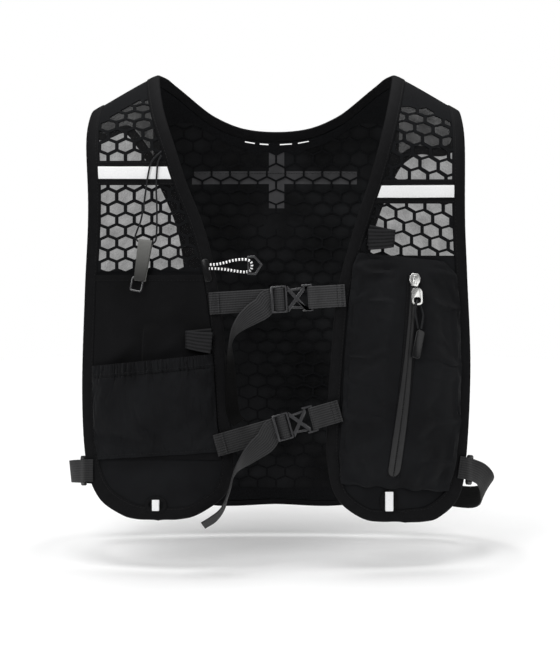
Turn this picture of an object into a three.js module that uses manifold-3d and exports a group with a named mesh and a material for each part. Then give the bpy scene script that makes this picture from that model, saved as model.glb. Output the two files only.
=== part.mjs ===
// Sports vest for running: two front panels and a back panel, worn open at the sides, with honeycomb
// net shoulders, pockets, two buckled chest straps and an adjustable strap at each side.
// Millimetres. +Z is up and the wearer faces -Y. The origin is midway between the shoulder ridges,
// at the height of the neck points. Left and right are as seen from the front: left is -X.

import * as THREE from "three";
import { mergeVertices } from "three/addons/utils/BufferGeometryUtils.js";
import Module from "manifold-3d";

const wasm = await Module();
wasm.setup();

// The form that the cloth keeps: an arch over each shoulder that ends in plumb front and back walls
const FORM = {
  neckX: 105, // where each shoulder ridge starts, beside the neck
  shoulderX: 166, // where it ends, at the armhole
  ridgeFall: 0.6, // drop of the ridge for each millimetre outwards
  ridgeSoftness: 12, // rounding of the ridge at the neck
  archHeight: 100, // from the ridge down to where the cloth hangs plumb
  archRun: 134, // length of cloth over that arch
  frontDepth: 86,
  backDepth: 80,
  halfWidth: 205, // oval of the chest seen from the top
  roundness: 2.4,
  waistTaper: 0.1, // share of the depth lost between the arch and the hem
  hangHeight: 300,
};

const GAP = 0.35;
const CLOTH = 1.4;
const BINDING = {
  width: 11, backWidth: 5, over: 2.4, under: 0.8, bevel: 1.2, narrowFrom: -10, narrowTo: -60,
};
const WEBBING = { width: 20, thick: 1.3 };

// Turns rows of numbers into records, with one name for each column
const table = (columns, rows) =>
  rows.map((row) => Object.fromEntries(columns.map((column, index) => [column, row[index]])));

// Edges of the cloth as they show from the front, each from the bottom of a front panel upwards
const LEFT_FRONT_EDGE = table(["x", "z"], [
  [-106, -401], [-70, -396], [-45, -377], [-38, -352], [-42, -308], [-45, -262],
  [-49, -214], [-62, -146], [-87, -77], [-102, -27],
]);
const RIGHT_FRONT_EDGE = table(["x", "z"], [
  [116, -403], [76, -399], [54, -380], [46, -348], [46, -305], [50, -245],
  [56, -190], [74, -125], [92, -65], [102, -20],
]);
const LEFT_SIDE_EDGE = table(["x", "z"], [
  [-106, -401], [-138, -397], [-160, -381], [-171, -348], [-174.5, -285], [-172, -195],
  [-169, -122], [-171, -58],
]);
const RIGHT_SIDE_EDGE = table(["x", "z"], [
  [116, -403], [146, -399], [164, -381], [171, -348], [175, -265], [172, -180],
  [170, -125], [170, -58],
]);
// Right half of the back: its neckline from the ridge to the middle, and its armhole down to the hem
const BACK_NECKLINE = table(["x", "z"], [[96, -5], [86, -13.5], [70, -27], [54, -38.5], [30, -48], [0, -51]]);
const BACK_ARMHOLE = table(["x", "z"], [
  [167, -58], [154, -72], [134, -72], [116, -80], [101, -106], [90, -140], [84, -180], [84, -220],
  [92, -270], [114, -320], [140, -354], [149, -370], [144, -383], [126, -389], [60, -390], [0, -389],
]);

// Honeycomb net: the spacing of its cells and the width of its ribs
const NET = {
  thick: 1.2, lift: 0.2, rib: 3, startRun: 46, rim: 1.6, leastCell: 70,
  midX: 120, midRun: 130, halfX: 70, halfRun: 130,
};
const LEFT_NET = { bottom: -177, pitch: 16.8, row: 12, tilt: 0.02, shiftX: -4, shiftRun: 0 };
const RIGHT_NET = { bottom: -163, pitch: 17.4, row: 12.6, tilt: 0.15, shiftX: 3, shiftRun: 4 };

// Dark ribbon across each shoulder with a bright strip along its middle
const RIBBON = { height: 21.6, thick: 1, stripHeight: 10.8, stripThick: 0.8 };
const LEFT_RIBBON_Z = -88.5;
const RIGHT_RIBBON_Z = -105;

const FINISH = {
  cloth: { color: 0x17181a, roughness: 0.85, metalness: 0 },
  net: { color: 0x141516, roughness: 0.9, metalness: 0 },
  tape: { color: 0x1f2022, roughness: 0.8, metalness: 0 },
  webbing: { color: 0x3a3b3d, roughness: 0.75, metalness: 0 },
  bright: { color: 0xf0f2f3, roughness: 0.45, metalness: 0 },
  plastic: { color: 0x0c0c0d, roughness: 0.4, metalness: 0 },
  metal: { color: 0xa9abae, roughness: 0.3, metalness: 1 },
  cord: { color: 0x1b1c1e, roughness: 0.7, metalness: 0 },
  speckled: { color: 0x8a8b8d, roughness: 0.7, metalness: 0 },
};

const vest = new THREE.Group();

const mix = (from, to, share) => from + (to - from) * share;

// Smooth share of the way from one value to another, from 0 to 1
function rise(from, to, value) {
  const share = THREE.MathUtils.clamp((value - from) / (to - from), 0, 1);
  return share * share * (3 - 2 * share);
}

// Height of the shoulder ridge at a distance from the middle
function ridge(x) {
  const past = Math.abs(x) - FORM.neckX;
  const soft = FORM.ridgeSoftness;
  return -FORM.ridgeFall * ((Math.hypot(past, soft) + past) / 2 - soft / 2);
}

// Point on the cloth's inner face: run is the length of cloth from the ridge, negative down the back
function formPoint(x, run) {
  const reach = Math.abs(run);
  const lean = (Math.min(reach / FORM.archRun, 1) * Math.PI) / 2;
  const hang = Math.max(reach - FORM.archRun, 0);
  const oval = (1 - (Math.abs(x) / FORM.halfWidth) ** FORM.roundness) ** (1 / FORM.roundness);
  const taper = 1 - (FORM.waistTaper * hang) / FORM.hangHeight;
  const depth = run > 0 ? -FORM.frontDepth : FORM.backDepth;
  const fall = FORM.archHeight * (1 - Math.cos(lean)) + hang;
  return new THREE.Vector3(x, depth * Math.sin(lean) * oval * taper, ridge(x) - fall);
}

// Directions at a point of the cloth: along its width, up its run and outwards
function formAxes(x, run) {
  const step = 0.4;
  const width = formPoint(x + step, run).sub(formPoint(x - step, run)).normalize();
  const down = formPoint(x, run + step).sub(formPoint(x, run - step)).normalize();
  const out = new THREE.Vector3().crossVectors(down, width).normalize();
  return { width, up: down.negate(), out };
}

function clothPoint(x, run, lift) {
  return formPoint(x, run).addScaledVector(formAxes(x, run).out, lift);
}

// Length of cloth from the ridge to a height z, in front; the same length negated is behind
function runTo(x, z) {
  const fall = Math.max(ridge(x) - z, 0);
  if (fall >= FORM.archHeight) return FORM.archRun + fall - FORM.archHeight;
  return (FORM.archRun * Math.acos(1 - fall / FORM.archHeight)) / (Math.PI / 2);
}

const inFront = (rows) => rows.map(({ x, z }) => new THREE.Vector2(x, runTo(x, z)));
const behind = (rows, side) => rows.map(({ x, z }) => new THREE.Vector2(side * x, -runTo(x, z)));
const ridgeEnd = (x) => new THREE.Vector2(x, 0);

// The three edge paths on the flat cloth, in x and run
const PATH_STEPS = { neck: 58, side: 46 };
const neckPath = new THREE.SplineCurve([
  ...inFront(LEFT_FRONT_EDGE),
  ridgeEnd(-FORM.neckX),
  ...behind(BACK_NECKLINE, -1),
  ...behind(BACK_NECKLINE, 1).reverse().slice(1),
  ridgeEnd(FORM.neckX),
  ...inFront(RIGHT_FRONT_EDGE).reverse(),
]).getSpacedPoints(PATH_STEPS.neck);

function sidePath(rows, side) {
  const points = [...inFront(rows), ridgeEnd(side * FORM.shoulderX), ...behind(BACK_ARMHOLE, side)];
  return new THREE.SplineCurve(points).getSpacedPoints(PATH_STEPS.side);
}
const leftPath = sidePath(LEFT_SIDE_EDGE, -1);
const rightPath = sidePath(RIGHT_SIDE_EDGE, 1);

// Width of the folded tape at a point: the armholes of the back have a narrow one
const neckWidth = () => BINDING.width;
const sideWidth = (point) =>
  mix(BINDING.width, BINDING.backWidth, rise(BINDING.narrowFrom, BINDING.narrowTo, point.y));

// Moves a path over the cloth by a distance at each point: turn is 1 towards its one hand and -1
// towards the other. Its ends lie level, at the bottom of the panels
function shiftPath(path, distanceAt, turn) {
  return path.map((point, index) => {
    const distance = distanceAt(point);
    const before = path[Math.max(index - 1, 0)];
    const after = path[Math.min(index + 1, path.length - 1)];
    const along = after.clone().sub(before);
    if (index === 0 || index === path.length - 1) along.y = 0;
    along.normalize();
    return new THREE.Vector2(point.x + turn * distance * along.y, point.y - turn * distance * along.x);
  });
}

// Hand of each path on which the cloth lies
const NECK_TURN = 1;
const LEFT_TURN = -1;
const RIGHT_TURN = 1;

// Place where a path reaches a value of some measure of its points
function crossing(path, measure, value) {
  for (let index = 1; index < path.length; index += 1) {
    const from = measure(path[index - 1]);
    const to = measure(path[index]);
    if ((from - value) * (to - value) <= 0 && from !== to) {
      return path[index - 1].clone().lerp(path[index], (value - from) / (to - from));
    }
  }
  const ends = [path[0], path[path.length - 1]];
  return ends.sort((a, b) => Math.abs(measure(a) - value) - Math.abs(measure(b) - value))[0].clone();
}

// Inner lines of the bindings, where the panels start: the flat facets of both need some room
const FRONT_CLEAR = 0.85;
const beside = (width, clear) => (point) => width(point) + GAP + clear;
const neckLine = shiftPath(neckPath, beside(neckWidth, FRONT_CLEAR), NECK_TURN);
const leftLine = shiftPath(leftPath, beside(sideWidth, FRONT_CLEAR), LEFT_TURN);
const rightLine = shiftPath(rightPath, beside(sideWidth, FRONT_CLEAR), RIGHT_TURN);
// Part of a path in front of the ridge, with the point on the ridge itself
function frontOf(path) {
  const front = path.filter((point) => point.y > 0);
  const top = crossing(path, (point) => point.y, 0);
  return front[0].y < front[front.length - 1].y ? [top, ...front] : [...front, top];
}
const frontLines = {
  left: { front: frontOf(neckLine.filter((point) => point.x < 0)), side: frontOf(leftLine) },
  right: { front: frontOf(neckLine.filter((point) => point.x > 0)), side: frontOf(rightLine) },
};

const heightOf = (point) => formPoint(point.x, point.y).z;

// Ends of a level row across a front panel
function rowEnds(lines, z) {
  return { front: crossing(lines.front, heightOf, z).x, side: crossing(lines.side, heightOf, z).x };
}

// Closed solid from corner points and triangles, with its faces turned outwards
function closedSolid(points, triangles) {
  const corners = (triangle) => triangle.map((index) => points[index]);
  const volume = triangles.reduce((sum, triangle) => {
    const [a, b, c] = corners(triangle);
    return sum + a.dot(new THREE.Vector3().crossVectors(b, c));
  }, 0);
  const faces = volume < 0 ? triangles.map(([a, b, c]) => [a, c, b]) : triangles;
  const geometry = new THREE.BufferGeometry();
  geometry.setAttribute("position", new THREE.Float32BufferAttribute(points.flatMap((p) => p.toArray()), 3));
  geometry.setIndex(faces.flat());
  return geometry;
}

// Wall over a grid: place(down, across) gives x, run and the lift of its inner face
function wall(rows, columns, thick, place) {
  const wide = columns + 1;
  const layer = (rows + 1) * wide;
  const points = [];
  for (const extra of [thick, 0]) {
    for (let row = 0; row <= rows; row += 1) {
      for (let column = 0; column <= columns; column += 1) {
        const { x, run, lift } = place(row / rows, column / columns);
        points.push(clothPoint(x, run, lift + extra));
      }
    }
  }
  const triangles = [];
  const quad = (a, b, c, d) => triangles.push([a, b, c], [a, c, d]);
  for (let row = 0; row < rows; row += 1) {
    for (let column = 0; column < columns; column += 1) {
      const corner = row * wide + column;
      quad(corner, corner + 1, corner + wide + 1, corner + wide);
      quad(layer + corner + wide, layer + corner + wide + 1, layer + corner + 1, layer + corner);
    }
  }
  const rim = (from, to) => quad(to, from, layer + from, layer + to);
  for (let column = 0; column < columns; column += 1) {
    rim(column, column + 1);
    rim(rows * wide + column + 1, rows * wide + column);
  }
  for (let row = 0; row < rows; row += 1) {
    rim((row + 1) * wide, row * wide);
    rim(row * wide + columns, (row + 1) * wide + columns);
  }
  return closedSolid(points, triangles);
}

// Solid through a row of sections, each a ring of as many points
function sweep(sections) {
  const count = sections[0].length;
  const triangles = [];
  for (let index = 1; index < sections.length; index += 1) {
    for (let side = 0; side < count; side += 1) {
      const next = (side + 1) % count;
      const [a, b] = [(index - 1) * count + side, (index - 1) * count + next];
      const [c, d] = [index * count + next, index * count + side];
      triangles.push([a, b, c], [a, c, d]);
    }
  }
  const last = (sections.length - 1) * count;
  for (let side = 2; side < count; side += 1) {
    triangles.push([0, side, side - 1], [last, last + side - 1, last + side]);
  }
  return closedSolid(sections.flat(), triangles);
}

// Flat band along stations of a point and the direction of its width
function band(stations, width, thick) {
  const sections = stations.map(({ point, across }, index) => {
    const before = stations[Math.max(index - 1, 0)].point;
    const after = stations[Math.min(index + 1, stations.length - 1)].point;
    const along = after.clone().sub(before).normalize();
    const wide = across.clone().addScaledVector(along, -across.dot(along)).normalize();
    const out = new THREE.Vector3().crossVectors(along, wide);
    const corner = (w, t) =>
      point.clone().addScaledVector(wide, (w * width) / 2).addScaledVector(out, (t * thick) / 2);
    return [corner(-1, -1), corner(1, -1), corner(1, 1), corner(-1, 1)];
  });
  return sweep(sections);
}

// Round cord along points, as a tube with eight sides
function cordTube(points, diameter, steps) {
  const ring = new THREE.Shape();
  ring.absarc(0, 0, diameter / 2, 0, Math.PI * 2);
  const path = new THREE.CatmullRomCurve3(points, false, "centripetal");
  return new THREE.ExtrudeGeometry(ring, { steps, curveSegments: 4, bevelEnabled: false, extrudePath: path });
}

// Plate cut from an outline in x and z, from y = back towards the viewer
function plate(shape, thick, back) {
  const geometry = new THREE.ExtrudeGeometry(shape, { depth: thick, bevelEnabled: false, curveSegments: 1 });
  return geometry.rotateX(Math.PI / 2).translate(0, back, 0);
}

function polygon(corners) {
  return new THREE.Shape(corners.map(([x, y]) => new THREE.Vector2(x, y)));
}

// Upright rectangle from one x to another, as tall above the x axis as below it
const upright = (from, to, half) => polygon([[from, -half], [to, -half], [to, half], [from, half]]);

// Rectangle with rounded corners, about a middle
function roundedRectangle(middleX, middleY, width, height, radius, Kind = THREE.Shape) {
  const [x, y] = [width / 2 - radius, height / 2 - radius];
  const shape = new Kind();
  shape.absarc(middleX + x, middleY + y, radius, 0, Math.PI / 2);
  shape.absarc(middleX - x, middleY + y, radius, Math.PI / 2, Math.PI);
  shape.absarc(middleX - x, middleY - y, radius, Math.PI, Math.PI * 1.5);
  shape.absarc(middleX + x, middleY - y, radius, Math.PI * 1.5, Math.PI * 2);
  shape.closePath();
  return shape;
}

// Solid for joining and cutting, and back to a plain geometry
function toSolid(geometry) {
  const bare = geometry.clone();
  bare.deleteAttribute("normal");
  bare.deleteAttribute("uv");
  const merged = mergeVertices(bare, 1e-4);
  const mesh = { numProp: 3, vertProperties: merged.attributes.position.array, triVerts: merged.index.array };
  return new wasm.Manifold(new wasm.Mesh({ ...mesh, triVerts: Uint32Array.from(mesh.triVerts) }));
}

function toGeometry(solid) {
  const mesh = solid.getMesh();
  const geometry = new THREE.BufferGeometry();
  geometry.setAttribute("position", new THREE.BufferAttribute(Float32Array.from(mesh.vertProperties), 3));
  geometry.setIndex(Array.from(mesh.triVerts));
  return geometry;
}

const joined = (first, ...others) =>
  toGeometry(others.reduce((solid, other) => solid.add(toSolid(other)), toSolid(first)));
const cut = (body, tools) =>
  toGeometry(tools.reduce((solid, tool) => solid.subtract(toSolid(tool)), toSolid(body)));

function addPiece(name, geometry, finish, holder = vest) {
  const mesh = new THREE.Mesh(geometry, new THREE.MeshStandardMaterial(finish));
  mesh.name = name;
  holder.add(mesh);
}

// Group seated on the cloth: its x is along the width, its z up the cloth and its -y outwards. A negative
// lean brings its lower end outwards
function seat(x, z, lift, turn = 0, lean = 0) {
  const run = runTo(x, z);
  const { up, out } = formAxes(x, run);
  const inwards = out.clone().negate();
  const group = new THREE.Group();
  group.position.copy(clothPoint(x, run, lift));
  const right = new THREE.Vector3().crossVectors(inwards, up);
  group.quaternion.setFromRotationMatrix(new THREE.Matrix4().makeBasis(right, inwards, up));
  group.rotateY(turn);
  group.rotateX(lean);
  vest.add(group);
  return group;
}

// Bindings: one folded tape around the neck and both front edges, and one along each side

function binding(path, turn, width) {
  const { over, under, bevel } = BINDING;
  const edge = () => 0;
  const slope = () => bevel;
  const section = [[edge, -under], [width, -under], [width, over], [slope, over], [edge, over - bevel]];
  const lines = section.map(([inwards]) => shiftPath(path, inwards, turn));
  const ring = (index) =>
    section.map(([, lift], corner) => clothPoint(lines[corner][index].x, lines[corner][index].y, lift));
  return sweep(path.map((point, index) => ring(index)));
}

const SEAM = 0.2;
// Trims the start of a side path so that it meets the neck binding at the bottom of a front panel
const trimmed = (path) => {
  const start = path[0].clone().lerp(path[1], SEAM / path[0].distanceTo(path[1]));
  return [start, ...path.slice(1)];
};
const withoutEnd = (path) => {
  const [last, before] = [path[path.length - 1], path[path.length - 2]];
  return [...path.slice(0, -1), last.clone().lerp(before, SEAM / last.distanceTo(before))];
};
addPiece("neck_binding", binding(withoutEnd(trimmed(neckPath)), NECK_TURN, neckWidth), FINISH.tape);
addPiece("left_side_binding", binding(withoutEnd(trimmed(leftPath)), LEFT_TURN, sideWidth), FINISH.tape);
addPiece("right_side_binding", binding(withoutEnd(trimmed(rightPath)), RIGHT_TURN, sideWidth), FINISH.tape);

// Honeycomb net of each shoulder, from the ridge down to the top of the pockets

// Cuts a polygon off where a function of its corners is negative
function clip(corners, inside) {
  return corners.flatMap((corner, index) => {
    const before = corners[(index + corners.length - 1) % corners.length];
    const [from, to] = [inside(before), inside(corner)];
    const kept = to >= 0 ? [corner] : [];
    return from * to < 0 ? [before.clone().lerp(corner, from / (from - to)), ...kept] : kept;
  });
}

// Cells of a honeycomb on the flat cloth, each clipped to a zone given by functions
function cells(net, zone, midX) {
  const scale = 1 - NET.rib / net.pitch;
  const found = [];
  const [rowCount, columnCount] = [Math.ceil(NET.halfRun / net.row), Math.ceil(NET.halfX / net.pitch)];
  for (let row = -rowCount; row <= rowCount; row += 1) {
    for (let column = -columnCount; column <= columnCount; column += 1) {
      const alongX = (column + (row % 2 ? 0.5 : 0)) * net.pitch + net.shiftX;
      const middle = new THREE.Vector2(midX + alongX, NET.midRun + row * net.row + net.shiftRun);
      middle.y += net.tilt * alongX;
      let corners = [0, 1, 2, 3, 4, 5].map((side) => {
        const angle = (side * Math.PI) / 3 + Math.PI / 6;
        const across = (Math.cos(angle) * net.pitch * scale) / Math.sqrt(3);
        const down = Math.sin(angle) * net.row * (2 / 3) * scale;
        return new THREE.Vector2(middle.x + across, middle.y + down + net.tilt * across);
      });
      for (const inside of zone) corners = corners.length > 2 ? clip(corners, inside) : [];
      if (corners.length > 2 && Math.abs(THREE.ShapeUtils.area(corners)) > NET.leastCell) found.push(corners);
    }
  }
  return found;
}

// Prism through the cloth over a polygon on it, well past both faces
const PIERCE = { inside: -3, outside: 5 };
function through(corners) {
  const ring = (lift) => corners.map((corner) => clothPoint(corner.x, corner.y, lift));
  return sweep([ring(PIERCE.inside), ring(PIERCE.outside)]);
}

// Shares of the net's length at which its facets meet: close together over the arch of the shoulder
const NET_ROWS = [0.001, 0.16, 0.32, 0.49, 0.7, 1];

function shoulderNet(lines, net, ribbonZ) {
  const bottomRun = (x) => runTo(x, net.bottom + GAP / 2);
  const share = (point) => point.y / bottomRun(point.x);
  const rows = NET_ROWS.length - 1;
  const corners = (path) => NET_ROWS.map((level) => crossing(path, share, level));
  const [side, front] = [corners(lines.side), corners(lines.front)];
  const panel = wall(rows, 2, NET.thick, (down, across) => {
    const row = Math.round(down * rows);
    const x = mix(side[row].x, front[row].x, across);
    return { x, run: Math.max(NET_ROWS[row] * bottomRun(x), GAP / 2), lift: NET.lift };
  });
  const hand = Math.sign(lines.side[0].x);
  const edgeX = (path, run) => crossing(path, (point) => point.y, run).x;
  const insideEdges = [
    (point) => hand * (edgeX(side, point.y) - point.x) - NET.rim,
    (point) => hand * (point.x - edgeX(front, point.y)) - NET.rim,
  ];
  const ribbonRun = (x, edge) => runTo(x, ribbonZ + (edge * RIBBON.height) / 2);
  const above = [(p) => p.y - NET.startRun, (p) => ribbonRun(p.x, 1) - p.y];
  const below = [(p) => p.y - ribbonRun(p.x, -1), (p) => bottomRun(p.x) - NET.rim - p.y];
  const holes = [above, below].flatMap((zone) => cells(net, [...insideEdges, ...zone], hand * NET.midX));
  return cut(panel, holes.map(through));
}
addPiece("left_net", shoulderNet(frontLines.left, LEFT_NET, LEFT_RIBBON_Z), FINISH.net);
addPiece("right_net", shoulderNet(frontLines.right, RIGHT_NET, RIGHT_RIBBON_Z), FINISH.net);

// Cloth of each front panel below the net, down to its round bottom

const FRONT = { rows: 9, columns: 5, above: 1 };
function frontPanel(lines, top) {
  const lowest = (path) => Math.min(...path.map(heightOf));
  const bottom = Math.max(lowest(lines.front), lowest(lines.side)) + FRONT.above;
  return wall(FRONT.rows, FRONT.columns, CLOTH, (down, across) => {
    const z = mix(top, bottom, Math.sin((down * Math.PI) / 2));
    const ends = rowEnds(lines, z);
    const x = mix(ends.side, ends.front, across);
    return { x, run: runTo(x, z), lift: 0 };
  });
}
addPiece("left_front_panel", frontPanel(frontLines.left, LEFT_NET.bottom - GAP / 2), FINISH.cloth);
addPiece("right_front_panel", frontPanel(frontLines.right, RIGHT_NET.bottom - GAP / 2), FINISH.cloth);

// Back panel: cloth from the shoulder ridges and the neckline down to the hem, pierced by a short row of
// slots under the neckline

const BACK = { thick: 1.6, columns: 10, hemZ: -380, clear: 2, above: 40, behind: 100 };
// Shares of the cloth's length down to the hem at which its facets meet: close over the arch and armholes
const BACK_ROWS = [
  0.0005, 0.065, 0.125, 0.17, 0.2, 0.22, 0.24, 0.265, 0.3, 0.36, 0.45, 0.57, 0.69, 0.8, 0.88, 0.94, 0.975, 1,
];
const backLeft = shiftPath(leftPath, beside(sideWidth, BACK.clear), LEFT_TURN);
const backRight = shiftPath(rightPath, beside(sideWidth, BACK.clear), RIGHT_TURN);
const backNeck = shiftPath(neckPath, beside(neckWidth, BACK.clear), NECK_TURN).filter((point) => point.y < 0);

// Row of slots under the neckline: the middle of each and half its width
const NECK_SLOTS = table(["x", "half"], [[-24, 4.5], [-11, 4], [9, 5.5], [25, 5]]);
const SLOT = { drop: 2.2, height: 3.2 };
const neckSlots = NECK_SLOTS.map(({ x, half }) => {
  const edge = (at) => crossing(backNeck, (point) => point.x, at).y - SLOT.drop;
  const corner = (at, drop) => new THREE.Vector2(at, edge(at) - drop);
  const [left, right] = [x - half, x + half];
  return [corner(left, 0), corner(right, 0), corner(right, SLOT.height), corner(left, SLOT.height)];
});

function backPanel() {
  const rows = BACK_ROWS.length - 1;
  const share = (point) => -point.y / runTo(point.x, BACK.hemZ);
  const ends = (path) => BACK_ROWS.map((level) => crossing(path, share, level).x);
  const [left, right] = [ends(backLeft), ends(backRight)];
  const sheet = wall(rows, BACK.columns, BACK.thick, (down, across) => {
    const row = Math.round(down * rows);
    const x = mix(left[row], right[row], across);
    return { x, run: -Math.max(BACK_ROWS[row] * runTo(x, BACK.hemZ), GAP / 2), lift: 0 };
  });
  const neckEnd = FORM.neckX + BINDING.width + GAP + BACK.clear;
  const neckline = backNeck.map((point) => [point.x, heightOf(point)]);
  const rim = [[-neckEnd, BACK.above], [-neckEnd, ridge(neckEnd)], ...neckline, [neckEnd, ridge(neckEnd)]];
  const neckHole = plate(polygon([...rim, [neckEnd, BACK.above]]), 2 * BACK.behind, BACK.behind);
  return cut(sheet, [neckHole, ...neckSlots.map(through)]);
}
addPiece("back_panel", backPanel(), FINISH.cloth);

// Two tapes sewn to the outside of the back, across the shoulder blades and down the middle

const TAPE = { thick: 1, lift: BACK.thick + 2 * GAP };
const TAPE_ACROSS = { left: -77, right: 74, top: -84, bottom: -96, columns: 8 };
const TAPE_DOWN = { left: -6.5, right: 6.5, top: TAPE_ACROSS.bottom - GAP, bottom: -118, columns: 2 };

function backTape({ left, right, top, bottom, columns }) {
  return wall(2, columns, TAPE.thick, (down, share) => {
    const x = mix(left, right, share);
    return { x, run: -runTo(x, mix(top, bottom, down)), lift: TAPE.lift };
  });
}
addPiece("back_tape_across", backTape(TAPE_ACROSS), FINISH.tape);
addPiece("back_tape_down", backTape(TAPE_DOWN), FINISH.tape);

// Ribbon and bright strip across each shoulder

function acrossShoulder(lines, middleZ, height, lift, thick) {
  return wall(2, 5, thick, (down, across) => {
    const z = middleZ + height * (0.5 - down);
    const ends = rowEnds(lines, z);
    const x = mix(ends.side, ends.front, across);
    return { x, run: runTo(x, z), lift };
  });
}
const RIBBON_LIFT = NET.lift + NET.thick + GAP;
const STRIP_LIFT = RIBBON_LIFT + RIBBON.thick + GAP;
for (const [side, lines, z] of [
  ["left", frontLines.left, LEFT_RIBBON_Z],
  ["right", frontLines.right, RIGHT_RIBBON_Z],
]) {
  const ribbon = acrossShoulder(lines, z, RIBBON.height, RIBBON_LIFT, RIBBON.thick);
  addPiece(`${side}_ribbon`, ribbon, FINISH.tape);
  const strip = acrossShoulder(lines, z, RIBBON.stripHeight, STRIP_LIFT, RIBBON.stripThick);
  addPiece(`${side}_bright_strip`, strip, FINISH.bright);
}

// Left front: a flat upper pocket with a pleat, and a lower pocket gathered along its mouth

const POCKET_LIFT = CLOTH + GAP;
const UPPER_POCKET = { top: -180, bottom: -346, thick: 1.2, mouth: 3.5, mouthEnd: -228 };
const PLEAT = { x: -119, half: 9, height: 2.2, top: -212, openAt: -228, closeAt: -252, bottom: -262 };
const LOWER_POCKET = {
  sideTop: -262, frontTop: -251, sideBottom: -346, frontBottom: -339,
  thick: 1.2, lift: POCKET_LIFT + UPPER_POCKET.thick + 1.5 * GAP, bulge: 11, fullness: 0.7,
};
const GATHER = { waves: 7, height: 1.3, share: 0.34, fade: 0.5 };

const upperPocket = wall(8, 12, UPPER_POCKET.thick, (down, across) => {
  const z = mix(UPPER_POCKET.top, UPPER_POCKET.bottom, down);
  const ends = rowEnds(frontLines.left, z);
  const x = mix(ends.side, ends.front, across);
  const open = rise(UPPER_POCKET.mouthEnd, UPPER_POCKET.top, z);
  const mouth = UPPER_POCKET.mouth * Math.sin(Math.PI * across) * open;
  const fold = Math.max(0, 1 - Math.abs(x - PLEAT.x) / PLEAT.half);
  const foldShare = rise(PLEAT.top, PLEAT.openAt, z) * rise(PLEAT.bottom, PLEAT.closeAt, z);
  return { x, run: runTo(x, z), lift: POCKET_LIFT + mouth + PLEAT.height * fold * foldShare };
});
addPiece("upper_pocket", upperPocket, FINISH.cloth);

const lowerPocket = wall(5, 3 * GATHER.waves, LOWER_POCKET.thick, (down, across) => {
  const top = mix(LOWER_POCKET.sideTop, LOWER_POCKET.frontTop, across);
  const z = mix(top, mix(LOWER_POCKET.sideBottom, LOWER_POCKET.frontBottom, across), down);
  const ends = rowEnds(frontLines.left, z);
  const x = mix(ends.side, ends.front, across);
  const inside = Math.sin(Math.PI * across);
  const bulge = LOWER_POCKET.bulge * inside ** LOWER_POCKET.fullness * (1 - down ** 2);
  const wave = Math.cos(across * GATHER.waves * 2 * Math.PI) * inside ** GATHER.fade;
  const gather = GATHER.height * wave * (1 - rise(0, GATHER.share, down));
  return { x, run: runTo(x, z), lift: LOWER_POCKET.lift + bulge + gather };
});
addPiece("lower_pocket", lowerPocket, FINISH.cloth);

// Right front: a padded pocket, open at its back, closed by a zip down its middle

const ZIP_POCKET = {
  thick: 1.4, lift: BINDING.over + 1.5 * GAP, bulge: 18, squareness: 2.6, softness: 0.8, edgeRows: 0.6,
  gather: 1.5, waves: 4, gatherFrom: 0.8, gatherTo: 0.96, height: 220, width: 115,
};
const ZIP_POCKET_SIDES = table(["share", "left", "right"], [
  [0, 74, 150], [0.06, 69, 161], [0.2, 66, 163.5], [0.45, 62, 164.5],
  [0.7, 59.5, 164], [0.88, 57, 160], [1, 58, 154],
]);
const ZIP_POCKET_ENDS = { leftTop: -160, rightTop: -168, leftBottom: -367, rightBottom: -374 };

function fromTable(rows, column, share) {
  const next = Math.max(1, rows.findIndex((row) => row.share >= share));
  const [from, to] = [rows[next - 1], rows[next]];
  return mix(from[column], to[column], (share - from.share) / (to.share - from.share));
}

// Height of a padded cushion, from 0 at its edges to 1 at its middle
const crown = (share) =>
  Math.max(0, 1 - Math.abs(2 * share - 1) ** ZIP_POCKET.squareness) ** ZIP_POCKET.softness;

function zipPocketAt(down, across, extra = 0) {
  const left = fromTable(ZIP_POCKET_SIDES, "left", down);
  const x = mix(left, fromTable(ZIP_POCKET_SIDES, "right", down), across);
  const top = mix(ZIP_POCKET_ENDS.leftTop, ZIP_POCKET_ENDS.rightTop, across);
  const z = mix(top, mix(ZIP_POCKET_ENDS.leftBottom, ZIP_POCKET_ENDS.rightBottom, across), down);
  const wave = Math.cos(across * ZIP_POCKET.waves * 2 * Math.PI) * Math.sin(Math.PI * across);
  const near = rise(ZIP_POCKET.gatherFrom, 1, down) * (1 - rise(ZIP_POCKET.gatherTo, 1, down));
  const gather = ZIP_POCKET.gather * wave * near;
  const lift = ZIP_POCKET.lift + ZIP_POCKET.bulge * crown(across) * crown(down) + gather + extra;
  return { x, run: runTo(x, z), lift };
}
// Sets rows and columns closer together at the edges of the cushion
const spread = (share) => mix(share, (1 - Math.cos(Math.PI * share)) / 2, ZIP_POCKET.edgeRows);
const zipPocket = wall(11, 3 * ZIP_POCKET.waves, ZIP_POCKET.thick, (down, across) =>
  zipPocketAt(spread(down), spread(across)));
addPiece("zip_pocket", zipPocket, FINISH.cloth);

// Point on the outside of the zip pocket
function zipPocketPoint(down, across, extra) {
  const { x, run, lift } = zipPocketAt(down, across, ZIP_POCKET.thick + extra);
  return clothPoint(x, run, lift);
}

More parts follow.
